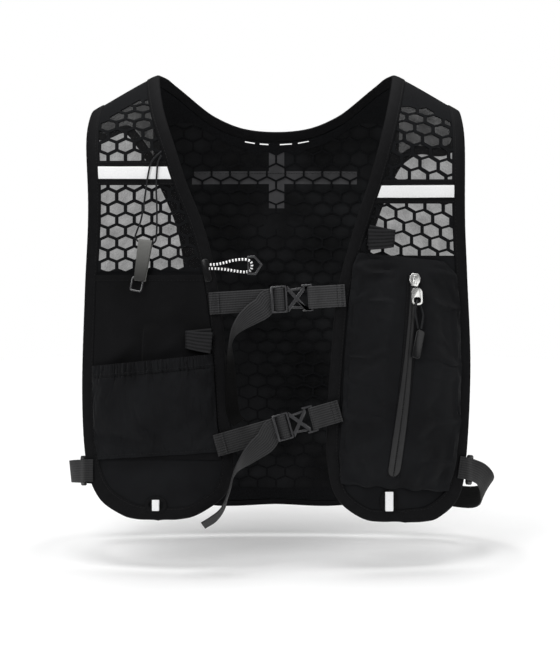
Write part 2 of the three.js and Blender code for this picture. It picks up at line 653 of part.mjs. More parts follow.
// Shares of the zip pocket at which its outside, and what stands out from it, shows at x and z from the
// front, found in rounds that each come closer
const SPOT_ROUNDS = 25;
function zipPocketSpot(x, z, extra) {
  const spot = { down: 0.5, across: 0.5 };
  for (let round = 0; round < SPOT_ROUNDS; round += 1) {
    const point = zipPocketPoint(spot.down, spot.across, extra);
    spot.down = THREE.MathUtils.clamp(spot.down + (point.z - z) / ZIP_POCKET.height, 0, 1);
    spot.across = THREE.MathUtils.clamp(spot.across + (x - point.x) / ZIP_POCKET.width, 0, 1);
  }
  return spot;
}
function onZipPocket({ x, z, out }) {
  const { down, across } = zipPocketSpot(x, z, out);
  return zipPocketPoint(down, across, out);
}
function zipPocketSeat({ x, z, out, turn }) {
  const { down, across } = zipPocketSpot(x, z, out);
  const step = 0.015;
  const right = zipPocketPoint(down, across + step, 0).sub(zipPocketPoint(down, across - step, 0));
  right.normalize();
  const up = zipPocketPoint(down - step, across, 0).sub(zipPocketPoint(down + step, across, 0));
  up.addScaledVector(right, -up.dot(right)).normalize();
  const inwards = new THREE.Vector3().crossVectors(up, right);
  const group = new THREE.Group();
  group.position.copy(zipPocketPoint(down, across, out));
  group.quaternion.setFromRotationMatrix(new THREE.Matrix4().makeBasis(right, inwards, up));
  group.rotateY(turn);
  vest.add(group);
  return group;
}

// Zip: a tape with its teeth, a metal slider and pull, and a cord loop with a grip. They are placed by how
// they show from the front, and out is how far they stand from the pocket

const ZIP = {
  thick: 1.2, half: 6, out: 1, topX: 124, topZ: -180, bottomX: 105.5, bottomZ: -361, bow: 2.5, rows: 14,
};
const zipTape = wall(ZIP.rows, 2, ZIP.thick, (down, across) => {
  const z = mix(ZIP.topZ, ZIP.bottomZ, down);
  const middle = mix(ZIP.topX, ZIP.bottomX, down) + ZIP.bow * Math.sin(Math.PI * down);
  const spot = zipPocketSpot(middle + ZIP.half * (2 * across - 1), z, ZIP.out);
  return zipPocketAt(spot.down, spot.across, ZIP_POCKET.thick + ZIP.out);
});
addPiece("zip_tape", zipTape, FINISH.tape);

// Height of the zip's teeth, on which the metal pieces lie
const TEETH = 0.6;
const ON_ZIP = ZIP.out + ZIP.thick + TEETH;
const SLIDER = { x: 124.3, z: -185, out: ON_ZIP, turn: 0.08, thick: 2.4, bridge: 4 };
const sliderBody = plate(
  polygon([[-3, 6], [3, 6], [5, 3], [5, -1], [2.8, -6], [-2.8, -6], [-5, -1], [-5, 3]]), SLIDER.thick, 0,
);
const sliderBridge = plate(polygon([[-1.5, -4], [1.5, -4], [1.5, 4], [-1.5, 4]]), SLIDER.bridge, 0);
addPiece("zip_slider", joined(sliderBody, sliderBridge), FINISH.metal, zipPocketSeat(SLIDER));

const PULL = {
  x: 126.3, z: -199.6, out: ON_ZIP + 2.6, turn: -0.06, thick: 1.4, width: 10, height: 15.4, radius: 3,
  hole: { drop: 3.4, width: 6.8, height: 5.6, radius: 2 },
};
const pullShape = roundedRectangle(0, 0, PULL.width, PULL.height, PULL.radius);
const { hole: pullHole } = PULL;
pullShape.holes.push(
  roundedRectangle(0, -pullHole.drop, pullHole.width, pullHole.height, pullHole.radius, THREE.Path),
);
addPiece("zip_pull", plate(pullShape, PULL.thick, 0), FINISH.metal, zipPocketSeat(PULL));

const GRIP = { x: 126.8, z: -242.4, out: 2.6, turn: 0.15, thick: 4, width: 8.2, height: 26, radius: 2.5 };
const gripSolid = plate(roundedRectangle(0, 0, GRIP.width, GRIP.height, GRIP.radius), GRIP.thick, 0);
addPiece("zip_grip", gripSolid, FINISH.plastic, zipPocketSeat(GRIP));

// Route of the cord loop from the grip, through the hole of the pull and back to the grip
const ZIP_CORD = { diameter: 1.8, steps: 18 };
const ZIP_CORD_ROUTE = table(["x", "z", "out"], [
  [127.6, -228.4, 4.6], [126.4, -222, 5.6], [125.2, -216, 7.4], [124.9, -210.5, 8.9],
  [126, -205.6, 9], [127, -203, 6.1], [128.4, -205.4, 3.6], [130.8, -210.5, 3.6],
  [132, -216, 3.8], [131.4, -222, 4.2], [130.2, -228.4, 4.6],
]);
const zipCord = cordTube(ZIP_CORD_ROUTE.map(onZipPocket), ZIP_CORD.diameter, ZIP_CORD.steps);
addPiece("zip_cord", zipCord, FINISH.cord);

// Flat elastic loops: one sewn above the lower pocket and one on the right net

const LOOP = { width: 19, thick: 1.1, length: 23, rise: 4, base: 0.9 };
// Fold of the elastic: past is the distance beyond the loop's length, and rise the share of its height
const LOOP_FOLD = table(["past", "rise"], [
  [-1.5, 0.05], [-0.2, 0.25], [0.3, 0.5], [-0.2, 0.75], [-1.5, 0.95],
]);
function elasticLoop(direction) {
  const station = (x, share) => ({
    point: new THREE.Vector3(direction * x, -LOOP.base - share * LOOP.rise, 0),
    across: new THREE.Vector3(0, 0, 1),
  });
  const flat = LOOP.length * 0.6;
  const fold = LOOP_FOLD.map(({ past, rise: share }) => station(LOOP.length + past, share));
  const stations = [station(0, 0), station(flat, 0), ...fold, station(flat, 1), station(0, 0.8)];
  return band(stations, LOOP.width, LOOP.thick);
}
const LEFT_LOOP = { x: -57.5, z: -238, lift: 3.45 };
const RIGHT_LOOP = { x: 82.6, z: -145, lift: 1.8, turn: 0.1 };
addPiece("left_elastic_loop", elasticLoop(-1), FINISH.tape, seat(LEFT_LOOP.x, LEFT_LOOP.z, LEFT_LOOP.lift));
const rightLoopSeat = seat(RIGHT_LOOP.x, RIGHT_LOOP.z, RIGHT_LOOP.lift, RIGHT_LOOP.turn);
addPiece("right_elastic_loop", elasticLoop(1), FINISH.tape, rightLoopSeat);

// Bright folded tabs near the bottom of the front panels

const TAB = { thick: 0.9, base: 0.6, spread: 2.2 };
// Fold of a tab: up is the height above its lower end, and out the distance in front of its back layer
const TAB_FOLD = table(["up", "out"], [
  [2, 0], [0.4, 0.3], [0, TAB.spread / 2], [0.4, TAB.spread - 0.3], [2, TAB.spread],
]);
function foldedTab(width, length) {
  const station = (z, out) => ({
    point: new THREE.Vector3(0, -TAB.base - out, z), across: new THREE.Vector3(1, 0, 0),
  });
  const fold = TAB_FOLD.map(({ up, out }) => station(up - length / 2, out));
  return band([station(length / 2, 0), ...fold, station(length / 2, TAB.spread)], width, TAB.thick);
}
const LEFT_TAB = { x: -107.6, z: -387, width: 7, length: 9.5 };
const RIGHT_TAB = { x: 101.2, z: -383.5, width: 8, length: 17 };
for (const [side, tab] of [["left", LEFT_TAB], ["right", RIGHT_TAB]]) {
  const holder = seat(tab.x, tab.z, BINDING.over + GAP);
  addPiece(`${side}_bright_tab`, foldedTab(tab.width, tab.length), FINISH.bright, holder);
}

// Shoulder cord: a thin loop over the left net, with a folded tab and a plastic ring hanging on it

const SHOULDER_CORD = { diameter: 1.6, steps: 27 };
const SHOULDER_CORD_ROUTE = table(["x", "z", "lift"], [
  [-102, -70, 4.6], [-106, -74, 5.6], [-110.5, -80, 6.2], [-113.5, -91, 6.2], [-115.7, -103.5, 5.6],
  [-117.8, -117, 5], [-120.8, -132, 4.6], [-124.2, -141, 4.4], [-125.4, -146.4, 4.4], [-122.5, -149.8, 4.4],
  [-116.5, -150.8, 4.4], [-110.5, -151.8, 4.4], [-107.6, -149.4, 4.4], [-106.6, -142, 4.4],
  [-106.2, -130, 4.6], [-106.2, -117, 5], [-106.6, -103.5, 5.6], [-105.9, -90, 6], [-104.6, -79, 5.6],
  [-102, -73.6, 4.8],
]);
const onFront = ({ x, z, lift }) => clothPoint(x, runTo(x, z), lift);
const shoulderCord = cordTube(SHOULDER_CORD_ROUTE.map(onFront), SHOULDER_CORD.diameter, SHOULDER_CORD.steps);
addPiece("shoulder_cord", shoulderCord, FINISH.cord);

const CORD_TAB = {
  x: -116.5, z: -150.8, lift: 4.4, turn: 0.17, lean: -0.18,
  width: 12, thick: 1, length: 35, slack: 0.5, foldEnd: 1,
};
const cordTabSeat = seat(CORD_TAB.x, CORD_TAB.z, CORD_TAB.lift, CORD_TAB.turn, CORD_TAB.lean);
const foldRadius = SHOULDER_CORD.diameter / 2 + GAP + CORD_TAB.thick / 2 + CORD_TAB.slack;
const cordTabFold = [30, 60, 90, 120, 150].map((degrees) => {
  const angle = THREE.MathUtils.degToRad(degrees);
  return [foldRadius * Math.cos(angle), foldRadius * Math.sin(angle)];
});
const cordTabPath = [
  [foldRadius, -CORD_TAB.length], [foldRadius, -CORD_TAB.foldEnd], ...cordTabFold,
  [-foldRadius, -CORD_TAB.foldEnd], [-foldRadius, -CORD_TAB.length],
];
const cordTabStations = cordTabPath.map(([y, z]) => ({
  point: new THREE.Vector3(0, y, z), across: new THREE.Vector3(1, 0, 0),
}));
addPiece("shoulder_tab", band(cordTabStations, CORD_TAB.width, CORD_TAB.thick), FINISH.webbing, cordTabSeat);
const RING = { width: 11.7, height: 13.5, wall: 1.6, thick: 1.5, drop: 38.5, radius: 2, holeRadius: 1 };
const ringShape = roundedRectangle(0, -RING.drop, RING.width, RING.height, RING.radius);
const ringHole = [RING.width - 2 * RING.wall, RING.height - 2 * RING.wall, RING.holeRadius];
ringShape.holes.push(roundedRectangle(0, -RING.drop, ...ringHole, THREE.Path));
addPiece("shoulder_ring", plate(ringShape, RING.thick, RING.thick / 2), FINISH.plastic, cordTabSeat);

// Bungee: a speckled elastic loop that leaves a tab on the left front edge and holds a plastic hook

const BUNGEE_TAB = { x: -62.2, z: -176, turn: -0.19, width: 7, height: 21, thick: 1.3, radius: 2.4 };
const bungeeSeat = seat(BUNGEE_TAB.x, BUNGEE_TAB.z, BINDING.over + GAP, BUNGEE_TAB.turn);
const bungeeTabShape = roundedRectangle(0, 0, BUNGEE_TAB.width, BUNGEE_TAB.height, BUNGEE_TAB.radius);
addPiece("bungee_tab", plate(bungeeTabShape, BUNGEE_TAB.thick, 0), FINISH.webbing, bungeeSeat);

const BUNGEE = { diameter: 2.4, steps: 21 };
const BUNGEE_ROUTE = table(["x", "y", "z"], [
  [-60, -87.8, -170.9], [-54, -88.2, -170.6], [-47, -88.6, -169.3], [-40, -88.9, -167.4],
  [-32, -89.3, -166.2], [-26.5, -89.5, -166.4], [-22.8, -88.6, -168], [-21.6, -87, -171.5],
  [-22.6, -85.2, -175.2], [-26.5, -84.3, -177.3], [-33, -85, -177], [-41, -86.4, -175.8],
  [-48, -87.6, -174.8], [-54, -88, -174.4], [-60, -87.8, -174.3],
]);
const bungeePoints = BUNGEE_ROUTE.map(({ x, y, z }) => new THREE.Vector3(x, y, z));
addPiece("bungee_cord", cordTube(bungeePoints, BUNGEE.diameter, BUNGEE.steps), FINISH.speckled);

const HOOK = { back: -86.1, thick: 1.6 };
const hookShape = polygon([[-25.8, -180], [-18, -180], [-12, -170.5], [-19, -162.6], [-25.8, -163]]);
const hookHole = [[-24.2, -178.2], [-18.9, -178.2], [-14.2, -170.6], [-19.7, -164.5], [-24.2, -164.8]];
hookShape.holes.push(new THREE.Path(hookHole.map(([x, y]) => new THREE.Vector2(x, y))));
addPiece("bungee_hook", plate(hookShape, HOOK.thick, HOOK.back), FINISH.plastic);

// Chest straps: webbing with a free tail through a ladder buckle, clipped into a crossed half

const BUCKLE = {
  half: 12, bar: 2.2, middle: -6.5, rightBar: 1.6, frame: [-15, -0.3], back: -2.7, thick: 2.5, window: 10.5,
  radius: 1.2,
  prong: { length: 15, height: 2.2, root: 8.6, outer: 9.6, inner: 7.6, tip: 2, thick: 1.2, overlap: 1 },
  cross: { start: 0.4, end: 16, arm: 4.8, back: -4.3, thick: 1.8, tail: 22.5, rail: 1.5, overlap: 3 },
};
const CHEST_STRAPS = [
  { name: "upper", x: 10.3, y: -85.6, z: -201.6, tilt: 0.06, left: -70, right: 52 },
  { name: "lower", x: 13.5, y: -84.2, z: -314.5, tilt: 0.276, left: -70, right: 44 },
];
// Free tails: out is how far they stand in front of the strap, and turn 90 shows the webbing edge on
const TAILS = {
  upper: table(["x", "z", "out", "turn"], [
    [-12, -209.5, 2.4, 8], [-20, -214.5, 4.5, 22], [-30, -222, 7, 48], [-37.5, -231, 9, 72],
    [-40.8, -241, 10, 84], [-41, -257, 10, 72], [-40.4, -279, 10, 62], [-39.6, -297, 10, 56],
    [-37.5, -307, 10.5, 56], [-33, -312.5, 11, 56],
  ]),
  lower: table(["x", "z", "out", "turn"], [
    [-9, -329.5, 2.6, 10], [-17, -336, 5, 28], [-26, -344, 8, 52], [-34, -352.5, 10.5, 76],
    [-38.6, -361, 11.5, 88], [-41.4, -372, 12, 88], [-44.6, -382, 12, 86], [-48.5, -391, 12, 80],
    [-56, -399, 12, 72], [-65.5, -405, 12, 72],
  ]),
};
// Incoming webbing around the middle bar and back behind the first bar, in the strap's own x and y
const THREADING = table(["x", "y"], [
  [-16, 0], [-12.5, -0.05], [-9.5, -0.9], [-6.5, -1.7], [-4.3, -2.2], [-3.4, -3.95], [-4.3, -5.7],
  [-6.5, -6.35], [-8.7, -5.7], [-10, -4.1], [-11.2, -2.6], [-12.5, -1.65], [-14, -1.6], [-17, -1.7],
]);

// The other half's webbing, folded around the end bar of the crossed half, in the strap's own x and y
const AROUND = table(["x", "y"], [
  [26, -2.6], [22.6, -3.3], [20.2, -3.3], [18.9, -5.2], [20.2, -7.1], [22.6, -7.1], [26, -6], [30, -3.8],
]);
// Where the fold's two layers come together, short of the sewn end, and how far apart they then lie
const LAYERS = { before: 10, apart: 1.75, apartAtEnd: 1.7 };

function strapFrame({ x, y, z, tilt }) {
  const group = new THREE.Group();
  group.position.set(x, y, z);
  group.rotation.y = -tilt;
  group.updateMatrix();
  vest.add(group);
  return group;
}

function tailStations(rows, strap) {
  return rows.map((row, index) => {
    const before = rows[Math.max(index - 1, 0)];
    const after = rows[Math.min(index + 1, rows.length - 1)];
    const along = new THREE.Vector2(after.x - before.x, after.z - before.z).normalize();
    const turn = THREE.MathUtils.degToRad(row.turn);
    const across = new THREE.Vector3(along.y * Math.cos(turn), -Math.sin(turn), -along.x * Math.cos(turn));
    return { point: new THREE.Vector3(row.x, strap.y - row.out, row.z), across };
  });
}

function buckleFrame() {
  const { half, bar, middle, rightBar, frame, back, thick, window, radius, prong } = BUCKLE;
  const [start, end] = frame;
  const root = end - prong.overlap;
  const shape = roundedRectangle((start + end) / 2, 0, end - start, 2 * half, radius);
  const pane = (from, to) => plate(upright(from, to, window), 3 * thick, back + thick);
  const panes = [pane(start + bar, middle - bar / 2), pane(middle + bar / 2, end - rightBar)];
  const arm = (side) => plate(polygon([
    [root, side * prong.root], [prong.length - prong.tip, side * prong.outer],
    [prong.length, side * prong.inner], [root, side * (prong.root - prong.height)],
  ]), prong.thick, back);
  return joined(cut(plate(shape, thick, back), panes), arm(1), arm(-1));
}

function buckleCross() {
  const { start, end, arm, back, thick, tail, rail: railHeight, overlap } = BUCKLE.cross;
  const { half, bar } = BUCKLE;
  const [railStart, railInner] = [end - overlap, half - railHeight];
  const diagonal = (side) => plate(polygon([
    [start, side * -half], [start, side * (arm - half)], [end, side * half], [end, side * (half - arm)],
  ]), thick, back);
  const rail = (side) => plate(polygon([
    [railStart, side * railInner], [tail, side * railInner], [tail, side * half], [railStart, side * half],
  ]), thick, back);
  const endBar = plate(upright(tail - bar, tail, half), thick, back);
  return joined(diagonal(1), diagonal(-1), rail(1), rail(-1), endBar);
}

for (const strap of CHEST_STRAPS) {
  const frame = strapFrame(strap);
  const across = new THREE.Vector3(0, 0, 1).applyQuaternion(frame.quaternion);
  const place = ({ x, y }) => ({ point: new THREE.Vector3(x, y, 0).applyMatrix4(frame.matrix), across });
  const incoming = [{ x: strap.left, y: 0 }, { x: strap.left / 2, y: 0 }, ...THREADING].map(place);
  const throughBuckle = [...incoming, ...tailStations(TAILS[strap.name], strap)];
  addPiece(`${strap.name}_strap_left`, band(throughBuckle, WEBBING.width, WEBBING.thick), FINISH.webbing);
  const meet = strap.right - LAYERS.before;
  const around = [
    { x: strap.right, y: 0 }, { x: meet, y: 0 }, ...AROUND,
    { x: meet, y: -LAYERS.apart }, { x: strap.right, y: -LAYERS.apartAtEnd },
  ].map(place);
  addPiece(`${strap.name}_strap_right`, band(around, WEBBING.width, WEBBING.thick), FINISH.webbing);
  addPiece(`${strap.name}_buckle_frame`, buckleFrame(), FINISH.plastic, frame);
  addPiece(`${strap.name}_buckle_cross`, buckleCross(), FINISH.plastic, frame);
}

// Side straps: webbing from the edge of a front panel round to the back panel, with a slider on each

// Lift of the webbing's middle over the binding, clear of the binding's flat facets
const ON_BINDING = 4.5;
// Free stretch of each strap between the panels: lean tips the top of the webbing outwards
const SIDE_STRAPS = [
  {
    name: "right", side: 1, frontX: [163, 169], frontZ: [-353, -354], backX: [142, 127], backZ: [-378, -376],
    rows: table(["x", "y", "z", "lean"], [
      [177.5, -43, -356, 0.05], [185.5, -28, -360, 0.3], [190.5, -12, -366.5, 0.6], [191.5, 3, -372.5, 0.6],
      [189, 18, -378, 0.4], [182, 34, -381.5, 0.2], [172, 47, -382, 0.1],
    ]),
  },
  {
    name: "left", side: -1, frontX: [163, 169], frontZ: [-356, -356], backX: [149, 125], backZ: [-361, -362],
    rows: table(["x", "y", "z", "lean"], [
      [176.5, -43, -356.5, 0], [182, -28, -357, 0.05], [185.5, -12, -357.6, 0.1], [186, 3, -358, 0.1],
      [183.5, 18, -358.4, 0.1], [177, 34, -359, 0.1], [167, 47, -360, 0.05],
    ]),
  },
];
const SLIDER_BAR = {
  width: 10, height: 27, thick: 2.6, radius: 2.5, bar: 1.8, slot: 2.6, slotHeight: 21,
  share: 0.9, clear: 0.55,
};

function sideSlider() {
  const { width, height, thick, radius, bar, slot, slotHeight } = SLIDER_BAR;
  const shape = roundedRectangle(0, 0, width, height, radius);
  const slots = [-1, 1].map((side) => {
    const [near, far] = [(side * bar) / 2, side * (bar / 2 + slot)];
    return plate(upright(near, far, slotHeight / 2), 2 * thick, thick);
  });
  return cut(plate(shape, thick, thick / 2), slots);
}

for (const { name, side, frontX, frontZ, backX, backZ, rows } of SIDE_STRAPS) {
  const standing = new THREE.Vector3(0, 0, 1);
  const onFrontEdge = frontX.map((x, index) => ({
    point: clothPoint(side * x, runTo(x, frontZ[index]), ON_BINDING), across: standing,
  }));
  const free = rows.map(({ x, y, z, lean }) => ({
    point: new THREE.Vector3(side * x, y, z),
    across: new THREE.Vector3(side * Math.sin(lean), 0, Math.cos(lean)),
  }));
  const onBack = backX.map((x, index) => ({
    point: clothPoint(side * x, -runTo(x, backZ[index]), ON_BINDING), across: standing,
  }));
  const stations = [...onFrontEdge, ...free, ...onBack];
  addPiece(`${name}_side_strap`, band(stations, WEBBING.width, WEBBING.thick), FINISH.webbing);
  const [from, at] = [onFrontEdge[1].point, free[0].point];
  const along = at.clone().sub(from).normalize();
  const inner = new THREE.Vector3().crossVectors(standing, along).multiplyScalar(side);
  const holder = new THREE.Group();
  const lift = WEBBING.thick / 2 + SLIDER_BAR.clear + SLIDER_BAR.thick / 2;
  holder.position.copy(from).lerp(at, SLIDER_BAR.share).addScaledVector(inner, lift);
  const basis = new THREE.Matrix4().makeBasis(along.multiplyScalar(side), inner, standing);
  holder.quaternion.setFromRotationMatrix(basis);
  vest.add(holder);
  addPiece(`${name}_side_slider`, sideSlider(), FINISH.plastic, holder);
}

export default vest;
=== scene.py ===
# A running vest in its worn form: dark cloth panels edged with folded tape, honeycomb net shoulders,
# three pockets, webbing straps with plastic buckles, and three thin cords.

import math

import bmesh
import bpy
import numpy as np
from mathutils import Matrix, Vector, geometry


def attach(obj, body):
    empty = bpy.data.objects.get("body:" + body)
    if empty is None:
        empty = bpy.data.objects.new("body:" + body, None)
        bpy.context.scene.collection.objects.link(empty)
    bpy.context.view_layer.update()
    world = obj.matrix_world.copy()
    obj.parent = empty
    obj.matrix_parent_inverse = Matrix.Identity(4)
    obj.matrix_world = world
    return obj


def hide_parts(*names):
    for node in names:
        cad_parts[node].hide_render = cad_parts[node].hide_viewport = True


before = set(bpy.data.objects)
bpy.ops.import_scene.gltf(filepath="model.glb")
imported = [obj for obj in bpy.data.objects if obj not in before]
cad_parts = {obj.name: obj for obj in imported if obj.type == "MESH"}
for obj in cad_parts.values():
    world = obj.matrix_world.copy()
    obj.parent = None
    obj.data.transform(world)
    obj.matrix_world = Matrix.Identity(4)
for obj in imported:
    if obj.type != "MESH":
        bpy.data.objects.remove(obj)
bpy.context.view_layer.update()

# Studio: a long lens straight at the front of the vest, soft light from the front and above, and a
# pale paper board just under the vest, which rises a little towards the back
MM = 0.001
IMAGE = {"width": 560, "height": 650, "mm_per_pixel": 0.9, "middle_x": 3.6, "middle_z": -225}
LENS = {"distance": 8000, "plane_y": -70, "sensor": 36}
FLOOR = {"z": -432, "radius": 900, "slope": 0.2}
LIGHTS = {
    "key": {"place": (-1300, -2300, 1100), "size": 1.5, "watts": 24},
    "fill": {"place": (1700, -2000, 300), "size": 1.6, "watts": 9},
    "top": {"place": (0, -120, 2000), "size": 2.6, "watts": 67},
}
AMBIENT = 0.18


def linear(hex_colour):
    channels = [int(hex_colour[i:i + 2], 16) / 255 for i in (1, 3, 5)]
    return tuple(c / 12.92 if c <= 0.04045 else ((c + 0.055) / 1.055) ** 2.4 for c in channels) + (1.0,)


def add(tree, kind, inputs=None, **settings):
    made = tree.nodes.new(kind)
    for key, value in settings.items():
        setattr(made, key, value)
    for key, value in (inputs or {}).items():
        if isinstance(value, bpy.types.NodeSocket):
            tree.links.new(value, made.inputs[key])
        else:
            made.inputs[key].default_value = value
    return made


def new_material(name):
    made = bpy.data.materials.new(name)
    made.use_nodes = True
    made.node_tree.nodes.clear()
    return made, made.node_tree


scene = bpy.context.scene
scene.view_settings.view_transform = "Standard"
lens_data = bpy.data.cameras.new("camera")
lens_data.sensor_width = LENS["sensor"]
lens_data.lens = LENS["sensor"] * LENS["distance"] / (IMAGE["height"] * IMAGE["mm_per_pixel"])
lens_data.clip_start = 0.5
lens_data.clip_end = 60
camera = bpy.data.objects.new("camera", lens_data)
camera.location = [v * MM for v in (IMAGE["middle_x"], LENS["plane_y"] - LENS["distance"], IMAGE["middle_z"])]
camera.rotation_euler = (math.pi / 2, 0, 0)
scene.collection.objects.link(camera)
scene.camera = camera

for name, lamp in LIGHTS.items():
    data = bpy.data.lights.new(name, "AREA")
    data.shape = "DISK"
    data.size = lamp["size"]
    data.energy = lamp["watts"]
    light = bpy.data.objects.new(name, data)
    light.location = [v * MM for v in lamp["place"]]
    target = Vector((0, 0, -0.22))
    light.rotation_euler = (target - light.location).to_track_quat("-Z", "Y").to_euler()
    scene.collection.objects.link(light)

world = bpy.data.worlds.new("studio")
world.use_nodes = True
world.node_tree.nodes.clear()
seen = add(world.node_tree, "ShaderNodeBackground", {"Color": (1, 1, 1, 1), "Strength": 1.0})
cast = add(world.node_tree, "ShaderNodeBackground", {"Color": (1, 1, 1, 1), "Strength": AMBIENT})
ray = add(world.node_tree, "ShaderNodeLightPath")
both = add(world.node_tree, "ShaderNodeMixShader",
           {0: ray.outputs["Is Camera Ray"], 1: cast.outputs[0], 2: seen.outputs[0]})
add(world.node_tree, "ShaderNodeOutputWorld", {"Surface": both.outputs[0]})
scene.world = world

# Matt white paper: a faint mottle keeps it from looking like a screen
paper, tree = new_material("matt_white_paper")
place = add(tree, "ShaderNodeTexCoord").outputs["Object"]
mottle = add(tree, "ShaderNodeTexNoise", {"Vector": place, "Scale": 9.0, "Detail": 3.0})
tint = add(tree, "ShaderNodeValToRGB", {"Fac": mottle.outputs["Fac"]})
tint.color_ramp.elements[0].color = linear("#f6f6f6")
tint.color_ramp.elements[1].color = linear("#ffffff")
surface = add(tree, "ShaderNodeBsdfPrincipled", {"Base Color": tint.outputs["Color"], "Roughness": 0.9})
add(tree, "ShaderNodeOutputMaterial", {"Surface": surface.outputs[0]})
floor_mesh = bpy.data.meshes.new("floor")
rim = [2 * math.pi * i / 64 for i in range(64)]
rim_points = [(FLOOR["radius"] * MM * math.cos(a), FLOOR["radius"] * MM * math.sin(a),
               (FLOOR["z"] + FLOOR["slope"] * FLOOR["radius"] * math.sin(a)) * MM) for a in rim]
floor_mesh.from_pydata(rim_points, [], [list(range(64))])
floor_mesh.materials.append(paper)
floor = bpy.data.objects.new("floor", floor_mesh)
scene.collection.objects.link(floor)

# Shoulder cord: a thin braided polyester cord, doubled over the left net, with both ends sewn in
# under the front binding. It hangs from that seam and carries a webbing tab.
FORM = {
    "neck_x": 105, "ridge_fall": 0.6, "ridge_soft": 12, "arch_height": 100, "arch_run": 134,
    "front_depth": 86, "back_depth": 80, "half_width": 205, "roundness": 2.4, "taper": 0.1, "hang": 300,
}
SHOULDER_CORD = {"diameter": 1.6}
SHOULDER_CORD_ROUTE = [  # x, z and lift from the cloth
    (-102, -70, 4.6), (-106, -74, 5.6), (-110.5, -80, 6.2), (-113.5, -91, 6.2), (-115.7, -103.5, 5.6),
    (-117.8, -117, 5), (-120.8, -132, 4.6), (-124.2, -141, 4.4), (-125.4, -146.4, 4.4), (-122.5, -149.8, 4.4),
    (-116.5, -150.8, 4.4), (-110.5, -151.8, 4.4), (-107.6, -149.4, 4.4), (-106.6, -142, 4.4), (-106.2, -130, 4.6),
    (-106.2, -117, 5), (-106.6, -103.5, 5.6), (-105.9, -90, 6), (-104.6, -79, 5.6), (-102, -73.6, 4.8),
]


def ridge(x):
    past = np.abs(x) - FORM["neck_x"]
    soft = FORM["ridge_soft"]
    return -FORM["ridge_fall"] * ((np.hypot(past, soft) + past) / 2 - soft / 2)


# Point on the cloth's inner face: run is the length of cloth from the ridge, negative down the back
def form_point(x, run):
    x, run = np.broadcast_arrays(np.asarray(x, float), np.asarray(run, float))
    reach = np.abs(run)
    lean = np.minimum(reach / FORM["arch_run"], 1) * np.pi / 2
    hang = np.maximum(reach - FORM["arch_run"], 0)
    oval = np.maximum(1 - (np.abs(x) / FORM["half_width"]) ** FORM["roundness"], 0) ** (1 / FORM["roundness"])
    depth = np.where(run > 0, -FORM["front_depth"], FORM["back_depth"])
    y = depth * np.sin(lean) * oval * (1 - FORM["taper"] * hang / FORM["hang"])
    return np.stack([x, y, ridge(x) - FORM["arch_height"] * (1 - np.cos(lean)) - hang], -1)


def unit(vectors):
    return vectors / np.maximum(np.linalg.norm(vectors, axis=-1, keepdims=True), 1e-9)


def cloth_out(x, run, step=0.4):
    x, run = np.asarray(x, float), np.asarray(run, float)
    across = form_point(x + step, run) - form_point(x - step, run)
    down = form_point(x, run + step) - form_point(x, run - step)
    return unit(np.cross(down, across))


def cloth_point(x, run, lift):
    return form_point(x, run) + cloth_out(x, run) * np.asarray(lift, float)[..., None]


def run_to(x, z):
    fall = np.maximum(ridge(x) - z, 0)
    arch = np.arccos(np.clip(1 - fall / FORM["arch_height"], 0, 1)) * FORM["arch_run"] / (np.pi / 2)
    return np.where(fall >= FORM["arch_height"], FORM["arch_run"] + fall - FORM["arch_height"], arch)


# Length along a line up to each of its points
def lengths_along(points):
    return np.concatenate([[0], np.cumsum(np.linalg.norm(np.diff(points, axis=0), axis=1))])


def spaced(points, step):
    points = np.asarray(points, float)
    length = lengths_along(points)
    at = np.linspace(0, length[-1], max(2, int(round(length[-1] / step)) + 1))
    return np.stack([np.interp(at, length, points[:, i]) for i in range(points.shape[1])], -1)


# Smooth line through points, with even steps: power 0.5 keeps it from overshooting at close points
def smooth_line(points, step, power=0.5, fine=16):
    points = np.asarray(points, float)
    ends = np.vstack([2 * points[0] - points[1], points, 2 * points[-1] - points[-2]])
    found = []
    for p0, p1, p2, p3 in zip(ends, ends[1:], ends[2:], ends[3:]):
        knots = np.cumsum([0] + [max(np.linalg.norm(b[:3] - a[:3]) ** power, 1e-6)
                                 for a, b in ((p0, p1), (p1, p2), (p2, p3))])
        t = np.linspace(knots[1], knots[2], fine, endpoint=False)[:, None]
        a1 = (knots[1] - t) / (knots[1] - knots[0]) * p0 + (t - knots[0]) / (knots[1] - knots[0]) * p1
        a2 = (knots[2] - t) / (knots[2] - knots[1]) * p1 + (t - knots[1]) / (knots[2] - knots[1]) * p2
        a3 = (knots[3] - t) / (knots[3] - knots[2]) * p2 + (t - knots[2]) / (knots[3] - knots[2]) * p3
        b1 = (knots[2] - t) / (knots[2] - knots[0]) * a1 + (t - knots[0]) / (knots[2] - knots[0]) * a2
        b2 = (knots[3] - t) / (knots[3] - knots[1]) * a2 + (t - knots[1]) / (knots[3] - knots[1]) * a3
        found.append((knots[2] - t) / (knots[2] - knots[1]) * b1 + (t - knots[1]) / (knots[2] - knots[1]) * b2)
    return spaced(np.vstack(found + [points[-1:]]), step)


# Mesh object from points in millimetres, faces and a flat pattern in millimetres
def build(name, points, faces, material, uv=None, sharp=50):
    mesh = bpy.data.meshes.new(name)
    mesh.from_pydata((np.asarray(points) * MM).tolist(), [], [list(f) for f in faces])
    if uv is not None:
        corner = np.zeros(len(mesh.loops), np.int32)
        mesh.loops.foreach_get("vertex_index", corner)
        layer = mesh.uv_layers.new(name="pattern")
        layer.data.foreach_set("uv", (np.asarray(uv) * MM)[corner].astype(np.float32).ravel())
    shell = bmesh.new()
    shell.from_mesh(mesh)
    bmesh.ops.recalc_face_normals(shell, faces=shell.faces)
    shell.to_mesh(mesh)
    shell.free()
    mesh.shade_smooth()
    mesh.set_sharp_from_angle(angle=math.radians(sharp))
    mesh.materials.append(material)
    made = bpy.data.objects.new(name, mesh)
    scene.collection.objects.link(made)
    return made


